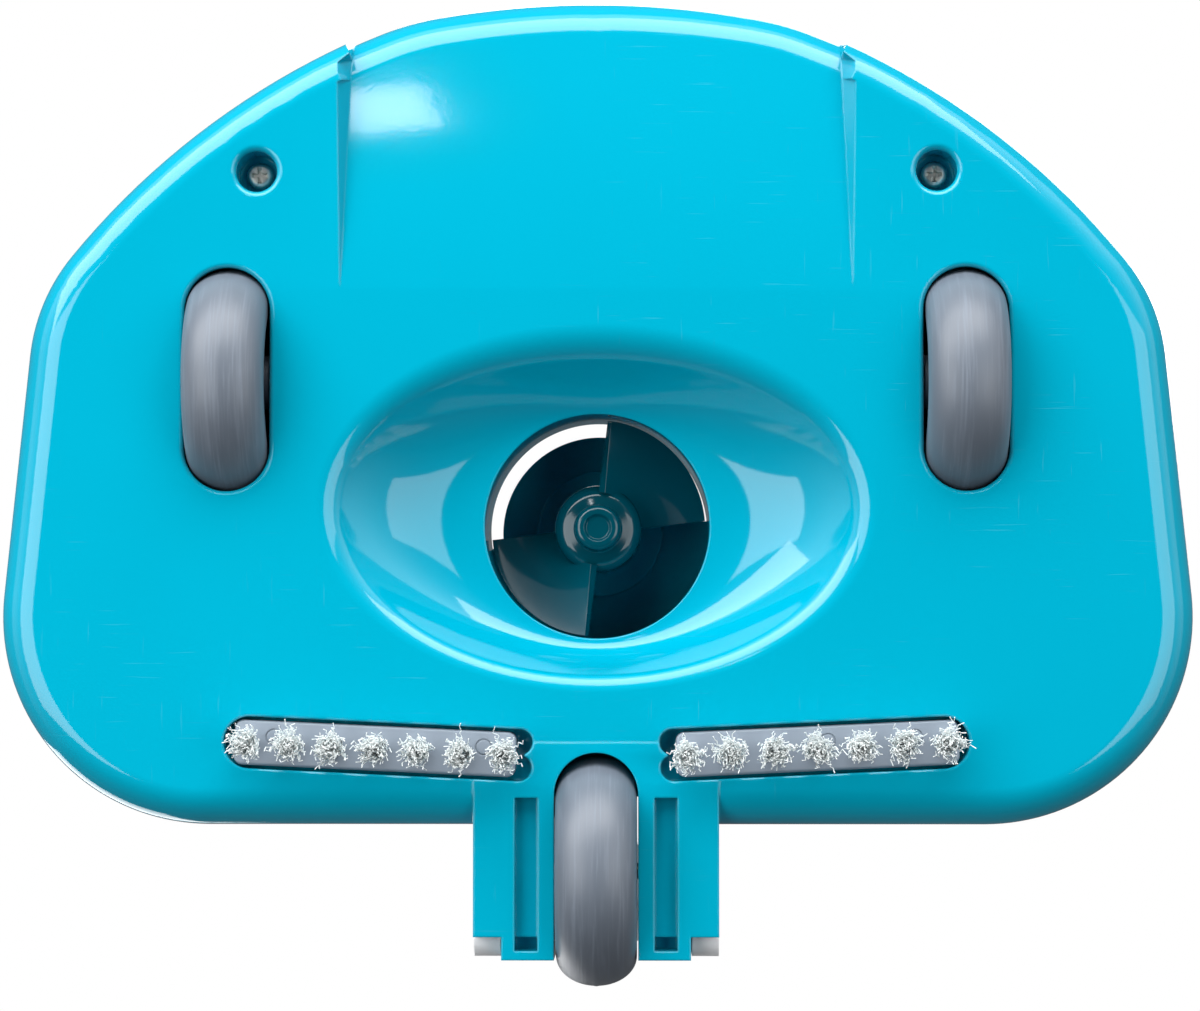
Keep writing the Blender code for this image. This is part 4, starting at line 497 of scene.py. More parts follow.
def flared_slot(name, outline_at, bottom, rim, top, place=(0, 0, 0), turn=0.0, steps=7):
    """A cutter whose mouth opens with a rounded rim; outline_at(grow) gives its outline."""
    levels = [(rim, bottom - OVERCUT)]
    for i in range(steps + 1):
        angle = math.radians(90 * i / steps)
        levels.append((rim * (1 - math.sin(angle)), bottom + rim * (1 - math.cos(angle))))
    levels.append((0.0, top))
    return loft(name, [[(x, y, z) for x, y in outline_at(grow)] for grow, z in levels], place, turn)


def each_side():
    return zip(SIDES, ("left", "right"))


# ---------------------------------------------------------------- body

def body_outline(inset=0.0):
    """The body's edge seen from above, moved inwards by inset, counter-clockwise."""
    nose, brow, shoulder, hip, tail = (math.radians(a) for a in (
        NOSE_ANGLE, BROW_ANGLE, SHOULDER_ANGLE, HIP_ANGLE, TAIL_ANGLE))
    sin, cos = math.sin, math.cos
    x_fixed = (NOSE_RADIUS * sin(nose) + BROW_RADIUS * (sin(brow) - sin(nose))
               + HIP_RADIUS * (sin(hip) - sin(shoulder)) + TAIL_RADIUS * (1 - sin(hip)))
    y_fixed = (NOSE_RADIUS * (1 - cos(nose)) + BROW_RADIUS * (cos(nose) - cos(brow))
               + HIP_RADIUS * (cos(shoulder) - cos(hip)) + TAIL_RADIUS * (cos(hip) - cos(tail)))
    x_left, y_left = BODY_WIDTH / 2 - x_fixed, BODY_LENGTH - y_fixed
    a, b, c, d = sin(shoulder) - sin(brow), cos(hip), cos(brow) - cos(shoulder), sin(hip)
    spread = a * d - b * c
    shoulder_radius = (x_left * d - b * y_left) / spread
    flank = (a * y_left - c * x_left) / spread
    arcs = ((NOSE_RADIUS, 0.0, NOSE_ANGLE), (BROW_RADIUS, NOSE_ANGLE, BROW_ANGLE),
            (shoulder_radius, BROW_ANGLE, SHOULDER_ANGLE), (HIP_RADIUS, SHOULDER_ANGLE, HIP_ANGLE),
            (TAIL_RADIUS, HIP_ANGLE, TAIL_ANGLE))
    x = y = 0.0
    edge = [(x, y, 0.0)]
    for radius, start, end in arcs:
        if radius == TAIL_RADIUS:
            heading = math.radians(start)
            x, y = x + flank * cos(heading), y + flank * sin(heading)
            edge.append((x, y, start))
        length = math.radians(end - start) * radius
        steps = math.ceil(max((end - start) / OUTLINE_TURN, length / OUTLINE_CHORD))
        for i in range(1, steps + 1):
            angle = start + (end - start) * i / steps
            from_angle, to_angle = math.radians(start), math.radians(angle)
            edge.append((x + radius * (sin(to_angle) - sin(from_angle)),
                         y + radius * (cos(from_angle) - cos(to_angle)), angle))
        x, y = edge[-1][:2]
    right = [(px - inset * sin(math.radians(angle)), py + inset * cos(math.radians(angle)))
             for px, py, angle in edge]
    return right + [(-px, py) for px, py in reversed(right) if px > WELD]


def carve_ramp(item, rim_height, grow):
    """Raises the underside between two slanting lines, more towards the front, as a ramp."""
    half, end = RAMP_WIDTH / 2 + grow, RAMP_LENGTH + grow
    mesh = bmesh.new()
    mesh.from_mesh(item.data)

    def split(faces, point, normal):
        geometry = faces + list({e for f in faces for e in f.edges})
        geometry += list({v for f in faces for v in f.verts})
        bmesh.ops.bisect_plane(mesh, geom=geometry, dist=WELD, plane_co=point, plane_no=normal)

    def faces_in_front():
        return [f for f in mesh.faces if f.calc_center_median().y < end]

    split(mesh.faces[:], (0, end, 0), (0, 1, 0))
    for side in SIDES:
        for flare in (RAMP_FOOT_FLARE, -RAMP_TOP_FLARE):
            split(faces_in_front(), (side * half, end, 0), (side * end, flare, 0))
    inner = RAMP_TOP_FLARE / end
    for vertex in mesh.verts:
        x, y, z = vertex.co
        if y < end and z < rim_height + WELD and abs(x) < half - inner * (end - y) + WELD:
            vertex.co.z += RAMP_RISE * (1 - y / end)
    bmesh.ops.triangulate(mesh, faces=[f for f in faces_in_front() if len(f.verts) < 9])
    mesh.to_mesh(item.data)
    mesh.free()


def body_volume(name, inset, bottom, top, fillet, steps):
    volume = raised(name, body_outline(inset), bottom, top, low_fillet=fillet, steps=steps)
    carve_ramp(volume, bottom + fillet, inset)
    return volume


def bowl_rings(grow=0.0, sides=144, rim_steps=9, hollow_steps=22):
    """Rings from the bowl's oval rim up to the round throat, moved outwards by grow."""
    rings = []
    angles = [2 * math.pi * i / sides for i in range(sides)]
    bore = THROAT_BORE / 2 + grow

    def frontness(angle):
        return max(0.0, -math.sin(angle)) ** 2

    for step in range(rim_steps + 1):
        turn = math.radians(BOWL_RIM_ANGLE) * step / rim_steps
        ring = []
        for angle in angles:
            rim = (BOWL_RIM_REAR + (BOWL_RIM_SIDE - BOWL_RIM_REAR) * math.cos(angle) ** 2
                   + (BOWL_RIM_FRONT - BOWL_RIM_REAR) * frontness(angle))
            drop = rim * math.sin(turn)
            ring.append(((BOWL_WIDTH / 2 + grow - drop) * math.cos(angle),
                         BOWL_Y + (BOWL_LENGTH / 2 + grow - drop) * math.sin(angle),
                         GROUND_CLEARANCE + grow + rim * (1 - math.cos(turn))))
        rings.append(ring)
    for step in range(1, hollow_steps + 1):
        share = step / hollow_steps
        ring = []
        for angle, start in zip(angles, rings[rim_steps]):
            power = BOWL_HOLLOW + (BOWL_HOLLOW_FRONT - BOWL_HOLLOW) * frontness(angle)
            end = Vector((bore * math.cos(angle), THROAT_Y + bore * math.sin(angle)))
            top = GROUND_CLEARANCE + BOWL_DEPTH + grow
            plan = Vector(start[:2]).lerp(end, share)
            ring.append((plan.x, plan.y, start[2] + (top - start[2]) * (1 - (1 - share) ** power)))
        rings.append(ring)
    return rings


def bowl(name, grow, low, high, **detail):
    rings = bowl_rings(grow, **detail)
    ends = [[(x, y, low) for x, y, _ in rings[0]], [(x, y, high) for x, y, _ in rings[-1]]]
    return loft(name, [ends[0]] + rings + [ends[1]])


def brush_slot_outline(side):
    """Round at the outer end, two small lobes with a tongue between them at the inner end."""
    half_width = BRUSH_WIDTH / 2 + BRUSH_SIDE_GAP
    lobe = half_width / 2
    outer, inner = BRUSH_LENGTH / 2 + BRUSH_END_GAP - half_width, -BRUSH_LENGTH / 2

    def outline(grow):
        radius = lobe + grow
        end = 180 + math.degrees(math.asin((lobe - TONGUE / 2) / radius))
        points = arc((outer, 0), half_width + grow, -90, 90, 28)
        points += arc((inner, lobe), radius, 90, end, 16)
        points += arc((inner, -lobe), radius, 360 - end, 270, 16)
        return points if side > 0 else [(-x, y) for x, y in reversed(points)]
    return outline


def brush_place(side):
    return (BRUSH_X * side, BRUSH_Y, 0), -BRUSH_TILT * side


def arm_cutters():
    """The rear wheel's slot, the arms' cores and pockets, and the room for the yoke's eyes."""
    nose = REAR_WHEEL_Y - WELL_HALF_LENGTH + ARM_FACE_X
    slot = arc((0, nose), ARM_FACE_X, 180, 360, 48)
    slot += [(ARM_FACE_X, ARM_END_Y + OVERCUT), (-ARM_FACE_X, ARM_END_Y + OVERCUT)]
    cutters = [raised("rear_slot", slot, GROUND_CLEARANCE - OVERCUT, PARTING_HEIGHT + OVERCUT)]
    back, half = ARM_END_Y - ARM_CORE_END, ARM_CORE_WIDTH / 2
    pivot = (0, PIVOT_Y, PIVOT_HEIGHT)
    room = EYE_RADIUS + 2 * GAP
    for side in SIDES:
        x = ARM_CORE_X * side
        cutters.append(block("core", (-half, back - ARM_CORE_LENGTH, 0),
                             (half, back, GROUND_CLEARANCE + ARM_CORE_DEPTH), (x, 0, 0)))
        cutters.append(block("pocket", (-half, back - ARM_POCKET_LENGTH, 0),
                             (half, back - 0.01 * MM, GROUND_CLEARANCE + ARM_POCKET_DEPTH), (x, 0, 0)))
        low, high = sorted((side * (YOKE_INNER_X - GAP), side * (ARM_SPAN / 2 + OVERCUT)))
        cutters.append(bar("eye_room", room, low, high, pivot, "X", 48))
        cutters.append(block("eye_notch", (low, 0, -PIVOT_HEIGHT), (high, 2 * room, 2 * room), pivot))
        cutters.append(block("leg_room", (low, -room - LEG_ROOM, 0), (high, 2 * room, 3 * room), pivot))
    return cutters


def lower_housing():
    """The lower shell with its ramp, bowl, throat, slots, wells and rear arms."""
    shell = body_volume("lower_shell", 0.0, GROUND_CLEARANCE, PARTING_HEIGHT, UNDER_FILLET, 12)
    cut(shell, body_volume("hollow", WALL, FLOOR_TOP, PARTING_HEIGHT + OVERCUT, UNDER_FILLET_INSIDE, 4))
    half = ARM_SPAN / 2
    front = REAR_WHEEL_Y - WELL_HALF_LENGTH - WALL
    corner_x, corner_y = half - ARM_CORNER, ARM_END_Y - ARM_CORNER
    outline = [(-half, front), (half, front)] + arc((corner_x, corner_y), ARM_CORNER, 0, 90, 6)
    outline += arc((-corner_x, corner_y), ARM_CORNER, 90, 180, 6)
    arms = raised("arms", outline, GROUND_CLEARANCE + 0.02 * MM, PARTING_HEIGHT)
    join(shell, bowl("backing", WALL, GROUND_CLEARANCE + WALL / 2, THROAT_TOP, sides=96, rim_steps=3,
                     hollow_steps=8), arms)
    for side in SIDES:
        spot, turn = brush_place(side)
        depth = GROUND_CLEARANCE + BRUSH_SINK + BRUSH_THICK + GAP
        reach = BRUSH_LENGTH / 2 + BRUSH_END_GAP + WALL + 2 * MM
        side_reach = BRUSH_WIDTH / 2 + BRUSH_SIDE_GAP + WALL
        join(shell, block("pocket_wall", (-reach, -side_reach, FLOOR_TOP - WALL / 2),
                          (reach, side_reach, depth + WALL), spot, turn))
        cut(shell, flared_slot("brush_slot", brush_slot_outline(side), GROUND_CLEARANCE,
                               SLOT_RIM / 2, depth, spot, turn, 4))
        x = FRONT_WHEEL_X * side
        outer = WELL_HALF_WIDTH + AXLE_BEARING_WALL
        join(shell, block("well", (-outer, -WELL_HALF_LENGTH - WALL, FLOOR_TOP - WALL / 2),
                          (outer, WELL_HALF_LENGTH + WALL, PARTING_HEIGHT - WALL),
                          (x, FRONT_WHEEL_Y, 0)))
        cut(shell, block("well_hollow", (-WELL_HALF_WIDTH, -WELL_HALF_LENGTH, FLOOR_TOP),
                         (WELL_HALF_WIDTH, WELL_HALF_LENGTH, PARTING_HEIGHT + OVERCUT),
                         (x, FRONT_WHEEL_Y, 0)),
            flared_slot("wheel_slot", lambda grow: obround(
                WELL_HALF_WIDTH + grow, WHEEL_DIAMETER / 2 - SLOT_END_CLIP + grow), GROUND_CLEARANCE,
                SLOT_RIM, FLOOR_TOP + WALL, (x, FRONT_WHEEL_Y, 0)),
            bar("axle_hole", AXLE_DIAMETER / 2 + GAP, x - outer - OVERCUT, x + outer + OVERCUT,
                (0, FRONT_WHEEL_Y, AXLE_HEIGHT), "X", 32))
        screw_at = (UNDER_SCREW_X * side, UNDER_SCREW_Y, 0)
        bore, seat = COUNTERBORE / 2, GROUND_CLEARANCE + COUNTERBORE_DEPTH
        join(shell, bar("screw_boss", bore + BOSS_WALL, FLOOR_TOP - WALL / 2, seat + WALL, screw_at))
        cut(shell, flared_slot("counterbore", lambda grow: circle(bore + grow, 72),
                               GROUND_CLEARANCE, COUNTERBORE_RIM, seat, screw_at),
            bar("screw_way", SCREW_SHANK / 2 + GAP, seat - OVERCUT, seat + WALL + OVERCUT, screw_at))
    cut(shell, bowl("cavity", 0.0, GROUND_CLEARANCE - OVERCUT, THROAT_TOP + OVERCUT), *arm_cutters())
    cut(shell, bar("rear_axle_hole", AXLE_DIAMETER / 2 + GAP, -half - OVERCUT, REAR_AXLE_END + MM,
                   (0, REAR_WHEEL_Y, AXLE_HEIGHT), "X", 32))
    for side in SIDES:
        low, high = sorted((side * YOKE_PIN_START, side * (half + OVERCUT)))
        cut(shell, bar("pin_hole", PIN_DIAMETER / 2 + GAP, low, high, (0, PIVOT_Y, PIVOT_HEIGHT), "X",
                       32))
    place_piece(shell, "turquoise_plastic", "head", ["lower_housing"])


def flange_screw_place(side):
    reach = (RING_RADIUS + FLANGE_FILLET + SCREW_HEAD / 2 + 2 * GAP) * math.sqrt(0.5)
    return (side * reach, THROAT_Y - reach, 0)


def top_cover():
    """The upper shell with its rounded deck."""
    seat = PARTING_HEIGHT + GAP
    cover = raised("upper_shell", body_outline(), seat, DECK_HEIGHT, high_fillet=DECK_FILLET, steps=14)
    cut(cover, raised("hollow", body_outline(WALL), seat - OVERCUT, DECK_HEIGHT - WALL,
                      high_fillet=DECK_FILLET_INSIDE, steps=4))
    low = GROUND_CLEARANCE + COUNTERBORE_DEPTH + WALL + GAP
    pilot = SCREW_SHANK / 2 + GAP
    for side in SIDES:
        spot = (UNDER_SCREW_X * side, UNDER_SCREW_Y, 0)
        join(cover, bar("boss", SCREW_SHANK / 2 + BOSS_WALL, low, DECK_HEIGHT - WALL / 2, spot, sides=32))
        cut(cover, bar("pilot", pilot, low - OVERCUT, low + UNDER_SCREW_LENGTH, spot, sides=24))
        spot = flange_screw_place(side)
        join(cover, bar("boss", SCREW_SHANK / 2 + BOSS_WALL, DECK_HEIGHT - LID_SCREW_LENGTH,
                        DECK_HEIGHT - WALL / 2, spot, sides=32))
        cut(cover, bar("pilot", pilot, DECK_HEIGHT - LID_SCREW_LENGTH - OVERCUT, DECK_HEIGHT + OVERCUT,
                       spot, sides=24))
    cut(cover, bar("throat_way", THROAT_BORE / 2 + WALL + 2 * GAP, PARTING_HEIGHT,
                   DECK_HEIGHT + OVERCUT, (0, THROAT_Y, 0), sides=128))
    room = ARM_INNER_X + GAP
    cut(cover, block("wheel_room", (-room, REAR_WHEEL_Y - WELL_HALF_LENGTH, seat - OVERCUT),
                     (room, BODY_LENGTH + OVERCUT, DECK_HEIGHT - WALL - GAP)))
    place_piece(cover, "turquoise_plastic", "head", ["top_cover"])


# ---------------------------------------------------------------- wheels, brushes, rotor

def wheel_profile():
    """Half a wheel's section: crowned tread with a mould line, dished sides, hub and bore."""
    half, radius = WHEEL_WIDTH / 2, WHEEL_DIAMETER / 2
    crown, line = 7.5 * MM, 0.12 * MM
    bore, hub, dish, rim = AXLE_DIAMETER / 2 + GAP, 7 * MM, 2.5 * MM, radius - 10.5 * MM
    tread = [(radius - crown * (1 - math.cos(a)) - (line if abs(math.sin(a)) > 0.012 else 0.0),
              half * math.sin(a)) for a in (math.radians(90 - 180 * i / 40) for i in range(41))]
    side = [(rim + 0.4 * MM, half), (rim, half - 0.4 * MM), (rim - dish, half - dish),
            (hub + 0.4 * MM, half - dish), (hub, half - dish + 0.4 * MM), (hub, half - 0.3 * MM),
            (hub - 0.3 * MM, half), (bore, half)]
    return list(reversed(side)) + tread + [(r, -z) for r, z in side]


def wheels():
    """The three wheels and their axles."""
    rows = (("front_wheel_left", -FRONT_WHEEL_X, FRONT_WHEEL_Y),
            ("front_wheel_right", FRONT_WHEEL_X, FRONT_WHEEL_Y),
            ("rear_wheel", 0.0, REAR_WHEEL_Y))
    front = WELL_HALF_WIDTH + AXLE_BEARING_WALL
    for (name, x, y), reach in zip(rows, (front, front, REAR_AXLE_END)):
        spot = (x, y, AXLE_HEIGHT)
        wheel = turned(name + "_tread", wheel_profile(), 128, spot, "X", closed=True)
        place_piece(wheel, "wheel_grey", name, [name])
        node = name.replace("wheel", "axle")
        rod = AXLE_DIAMETER / 2
        profile = [(0.0, reach), (rod - 0.4 * MM, reach), (rod, reach - 0.4 * MM),
                   (rod, 0.4 * MM - reach), (rod - 0.4 * MM, -reach), (0.0, -reach)]
        place_piece(turned(node + "_rod", profile, 48, spot, "X"), "steel", "head", [node])


def bristle_bundle(name, spot, count, thickness, seed):
    """One tuft: crimped bristles that leave a tight root and splay towards the ground."""
    draw = random.Random(seed)
    root_top = GROUND_CLEARANCE + BRUSH_SINK + 2.6 * MM
    curve = bpy.data.curves.new(name, "CURVE")
    curve.dimensions = "3D"
    curve.bevel_depth, curve.bevel_resolution, curve.use_fill_caps = thickness / 2, 0, True
    for _ in range(count):
        around = draw.uniform(0, 2 * math.pi)
        out = math.sqrt(draw.random())
        root = Vector((math.cos(around), math.sin(around), 0)) * out * (TUFT_ROOT / 2 - thickness)
        lean = around + draw.gauss(0, 0.9)
        splay = (0.2 + 2.5 * out + draw.gauss(0, 1.0)) * MM
        length = root_top - TUFT_OFF_GROUND - abs(draw.gauss(0, 2.2)) * MM - 1.6 * MM * out ** 2
        crimp, wave, phase = draw.uniform(0.25, 0.65) * MM, draw.uniform(2.4, 4.2) * MM, draw.uniform(0, 7)
        spline = curve.splines.new("POLY")
        points = 10
        spline.points.add(points - 1)
        for i in range(points):
            share = i / (points - 1)
            down = length * share
            wiggle = crimp * math.sin(2 * math.pi * down / wave + phase) * min(1.0, share * 3)
            flare = splay * share ** 1.5 + 0.4 * crimp * math.cos(2 * math.pi * down / wave)
            at = root + Vector((math.cos(lean), math.sin(lean), 0)) * flare
            at += Vector((-math.sin(lean), math.cos(lean), 0)) * wiggle
            spline.points[i].co = (spot[0] + at.x, spot[1] + at.y, root_top - down, 1.0)
    activate(linked(name, curve))
    bpy.ops.object.convert(target="MESH")
    return named(name)


def brushes(sizes):
    """The two brush plates, each with moulding marks and seven tufts."""
    bottom = GROUND_CLEARANCE + BRUSH_SINK
    top, shift = bottom + BRUSH_THICK, 0.4 * MM
    marks = {-1: (-26.0, 27.0), 1: (3.0, 25.0)}
    for side, name in each_side():
        spot, turn = brush_place(side)
        outline = [(x + shift * side, y) for x, y in
                   rounded_rectangle(BRUSH_LENGTH - 2 * shift, BRUSH_WIDTH, BRUSH_CORNER, 8)]
        plate = raised("brush_strip_" + name, outline, bottom, top, low_fillet=0.8 * MM, steps=5,
                       place=spot, turn=turn)
        rotate = Matrix.Rotation(math.radians(turn), 4, "Z")
        for along in marks[side]:
            mark = Vector(spot) + rotate @ Vector((along * MM, -1.6 * MM, 0))
            ring = [(2.1 * MM, bottom + 0.18 * MM), (2.1 * MM, bottom - MM),
                    (1.75 * MM, bottom - MM), (1.75 * MM, bottom + 0.18 * MM)]
            cut(plate, turned("mark", ring, 40, mark, closed=True))
        for index in range(TUFTS):
            along = (index - (TUFTS - 1) / 2) * TUFT_PITCH
            at = Vector(spot) + rotate @ Vector((along, 0, 0))
            cut(plate, bar("hole", TUFT_ROOT / 2 + GAP, bottom - OVERCUT, bottom + 3 * MM, at, sides=32))
            node = "tuft_%s_%d" % (name, index + 1)
            seed = 100 * (side + 2) + index
            tuft = bristle_bundle("bristles_%s_%d" % (name, index + 1), at, sizes.bristles,
                                  sizes.bristle_diameter, seed)
            place_piece(tuft, "bristle", "head", [node], angle=60)
        place_piece(plate, "plate_grey", "head", ["brush_plate_" + name])


def impeller():
    """The hub with its stepped nose and two twisted blades."""
    radius, nose = HUB_DIAMETER / 2, HUB_NOSE_HEIGHT
    tip, shoulder = radius * 0.52, nose + 7 * MM
    neck_top, bore = CUP_BASE - CUP_BOSS_DROP - 1.5 * MM, SHAFT_DIAMETER / 2 + GAP
    profile = [(0.0, shoulder + 8 * MM), (bore, shoulder + 8 * MM), (bore, neck_top),
               (radius * 0.62, neck_top), (radius * 0.62, neck_top - 8 * MM),
               (radius, BLADE_HIGH + 5 * MM), (radius, shoulder + 4 * MM)]
    profile += arc((radius - 4 * MM, shoulder + 4 * MM), 4 * MM, -10, -82, 9)
    profile += [(tip + 0.4 * MM, shoulder - 0.3 * MM), (tip, shoulder - 0.8 * MM), (tip, nose + 3.5 * MM)]
    profile += arc((tip - 1.6 * MM, nose + 1.6 * MM), 1.6 * MM, -10, -90, 8)
    profile += [(tip - 2.4 * MM, nose), (tip - 3.0 * MM, nose + 0.8 * MM), (0.0, nose + 1.0 * MM)]
    hub = turned("rotor", profile, 96, (0, THROAT_Y, 0))
    inner, outer = radius - 2 * MM, THROAT_BORE / 2 - BLADE_TIP_GAP
    turns, rows = 28, 8
    for index in range(2):
        deselect()
        bpy.ops.mesh.primitive_grid_add(x_subdivisions=turns, y_subdivisions=rows, size=1.0)
        blade = named("blade")
        for vertex in blade.data.vertices:
            share, out = vertex.co.x + 0.5, vertex.co.y + 0.5
            angle = math.radians(BLADE_LEAD + 180.0 * index + BLADE_SWEEP * share)
            at = inner + (outer - inner) * out
            vertex.co = (at * math.cos(angle), at * math.sin(angle),
                         BLADE_LOW + (BLADE_HIGH - BLADE_LOW) * share)
        apply(blade, "SOLIDIFY", thickness=BLADE_THICK, offset=0.0)
        settle(blade, (0, THROAT_Y, 0))
        face_outwards()
        join(hub, blade)
    # the rotor's finish is the shell turquoise darkened as painted shade
    place_piece(hub, "rotor_plastic_painted_shade", "rotor", ["impeller"])


# ---------------------------------------------------------------- outlet, cap and battery

def lid_screw_places():
    x, y = TUB_WIDTH / 2 - 5 * MM, TUB_LENGTH / 2 - 5 * MM
    return [("%s_%s" % (row, side), (sx * x, TUB_Y + sy * y, 0))
            for row, sy in (("front", -1), ("rear", 1)) for sx, side in each_side()]


def outlet_housing():
    """Outlet ring on its flange, motor cup on its shelf, and the battery tub."""
    axis = (0, THROAT_Y, 0)
    outer, bore, seat = RING_RADIUS, RING_BORE / 2, DECK_SEAT
    bead, bead_round = outer + RING_BEAD, 1.2 * MM
    profile = [(bore, RING_HEIGHT - 0.5 * MM), (bore + 0.5 * MM, RING_HEIGHT)]
    profile += arc((bead - bead_round, RING_HEIGHT - bead_round), bead_round, 90, 0, 6)
    profile += [(bead, RING_HEIGHT - 3.2 * MM), (outer + 0.6 * MM, RING_HEIGHT - 5.0 * MM),
                (outer, RING_HEIGHT - 5.6 * MM)]
    foot = seat + FLANGE_THICK
    profile += arc((outer + 3 * MM, foot + 3 * MM), 3 * MM, 180, 270, 6)
    profile += [(outer + FLANGE_REACH - 0.8 * MM, foot), (outer + FLANGE_REACH, foot - 0.8 * MM),
                (outer + FLANGE_REACH, seat), (bore, seat)]
    ring = turned("outlet_ring", profile, 144, axis, closed=True)
    shelf = bar("shelf", bore + RING_WALL / 2, CUP_BASE, CUP_BASE + SHELF_THICK, axis, sides=144)
    cut(shelf, block("shelf_left", (-2 * outer, -2 * outer, 0), (0, SHELF_FRONT_LEFT, 1), axis),
        block("shelf_right", (-OVERCUT, -2 * outer, 0), (2 * outer, SHELF_FRONT_RIGHT, 1), axis))
    cup = bar("cup", CUP_DIAMETER / 2, CUP_BASE, CUP_RIM, axis, sides=128)
    boss = bar("boss", CUP_BOSS_DIAMETER / 2, CUP_BASE - CUP_BOSS_DROP, CUP_BASE + CUP_WALL / 2, axis,
               sides=96)
    tub = raised("tub", rounded_rectangle(TUB_WIDTH, TUB_LENGTH, TUB_CORNER), seat, TUB_TOP,
                 high_fillet=0.6 * MM, steps=3, place=(0, TUB_Y, 0))
    neck = block("neck", (-TUB_NECK / 2, bore + RING_WALL / 3, seat + 0.5 * MM),
                 (TUB_NECK / 2, TUB_Y - THROAT_Y, TUB_TOP - 0.5 * MM), axis)
    join(ring, shelf, cup, boss, tub, neck)
    ear_x = TUB_WIDTH / 2
    for side in SIDES:
        middle = side * (KNUCKLE_HALF + GAP + EAR_THICK / 2)
        join(ring, block("ear", (ear_x - WALL / 2, middle - EAR_THICK / 2, -EAR_RISE),
                         (ear_x + PORT_OUT + EAR_REACH, middle + EAR_THICK / 2, EAR_RISE),
                         (0, TUB_Y, CELL_HEIGHT + PORT_RISE)))
    cut(ring, raised("tub_hollow", rounded_rectangle(TUB_WIDTH - 2 * CUP_WALL, TUB_LENGTH - 2 * CUP_WALL,
                                                     TUB_CORNER - CUP_WALL / 2), TUB_FLOOR,
                     TUB_TOP + OVERCUT, place=(0, TUB_Y, 0)))
    for _, spot in lid_screw_places():
        join(ring, bar("post", SCREW_SHANK / 2 + BOSS_WALL, TUB_FLOOR - WALL / 2, TUB_TOP - 0.2 * MM, spot,
                       sides=40))
    floor = CUP_BASE + CUP_FLOOR
    groove = CUP_DIAMETER / 2 - CUP_WALL / 2
    depth, half = 2.0 * MM, 1.05 * MM
    section = [(groove - half, CUP_RIM + OVERCUT), (groove + half, CUP_RIM + OVERCUT),
               (groove + half, CUP_RIM - depth), (groove - half, CUP_RIM - depth)]
    pin_at = (ear_x + PORT_OUT, TUB_Y, CELL_HEIGHT + PORT_RISE)
    cut(ring, bar("cup_hollow", CUP_DIAMETER / 2 - CUP_WALL, floor, CUP_RIM + OVERCUT, axis, sides=128),
        bar("shaft_way", SHAFT_DIAMETER / 2 + MM, CUP_BASE - OVERCUT, floor + OVERCUT, axis),
        bar("seal_seat", 6 * MM, CUP_BASE - CUP_BOSS_DROP - OVERCUT, CUP_BASE + 2 * GAP, axis),
        turned("seal_groove", section, 96, axis, closed=True),
        bar("duct", 2.5 * MM, CUP_DIAMETER / 2 - CUP_WALL - OVERCUT,
            TUB_Y - THROAT_Y - TUB_LENGTH / 2 + 2 * CUP_WALL,
            (0, THROAT_Y, CUP_BASE + SHELF_THICK / 2 + 0.5 * MM), "Y", 32),
        bar("port", JACK_BORE / 2 + GAP, ear_x - 2 * CUP_WALL, ear_x + OVERCUT, (0, TUB_Y, CELL_HEIGHT),
            "X", 48),
        bar("port_pin", 1.2 * MM, -7.5 * MM, 7.5 * MM, pin_at, "Y", 24))
    for _, spot in lid_screw_places():
        cut(ring, bar("pilot", SCREW_SHANK / 2 + GAP, TUB_TOP - LID_SCREW_LENGTH, TUB_TOP + OVERCUT, spot,
                      sides=24))
    for side in SIDES:
        cut(ring, bar("flange_hole", SCREW_SHANK / 2 + GAP, DECK_HEIGHT - OVERCUT, foot + OVERCUT,
                      flange_screw_place(side), sides=32))
    place_piece(ring, "turquoise_plastic", "head", ["outlet_housing"])


def motor_cap():
    """Domed cap that screws on the motor cup, with grip flutes."""
    axis, wall = (0, THROAT_Y, 0), CUP_WALL
    radius, base, corner = CUP_DIAMETER / 2, CUP_RIM + GAP, 12 * MM

    def section(grow, top):
        reach = radius + grow - corner
        return ([(0.0, top), (reach * 0.5, top - 0.1 * MM)]
                + arc((reach, top - 0.3 * MM - corner), corner, 90, 0, 10))

    outside = section(0.0, CAP_HEIGHT) + [(radius, base + 0.5 * MM), (radius - 0.5 * MM, base),
                                          (radius - wall, base)]
    cap = turned("cap", outside + list(reversed(section(-wall, CAP_HEIGHT - wall))), 144, axis)
    flutes = 9
    for i in range(flutes):
        angle = 2 * math.pi * (i + 0.5) / flutes
        at = radius + 1.2 * MM
        cut(cap, bar("flute", 2.2 * MM, base + 3 * MM, CAP_HEIGHT + OVERCUT,
                     (math.cos(angle) * at, THROAT_Y + math.sin(angle) * at, 0), sides=40))
    place_piece(cap, "turquoise_plastic", "head", ["motor_cap"])


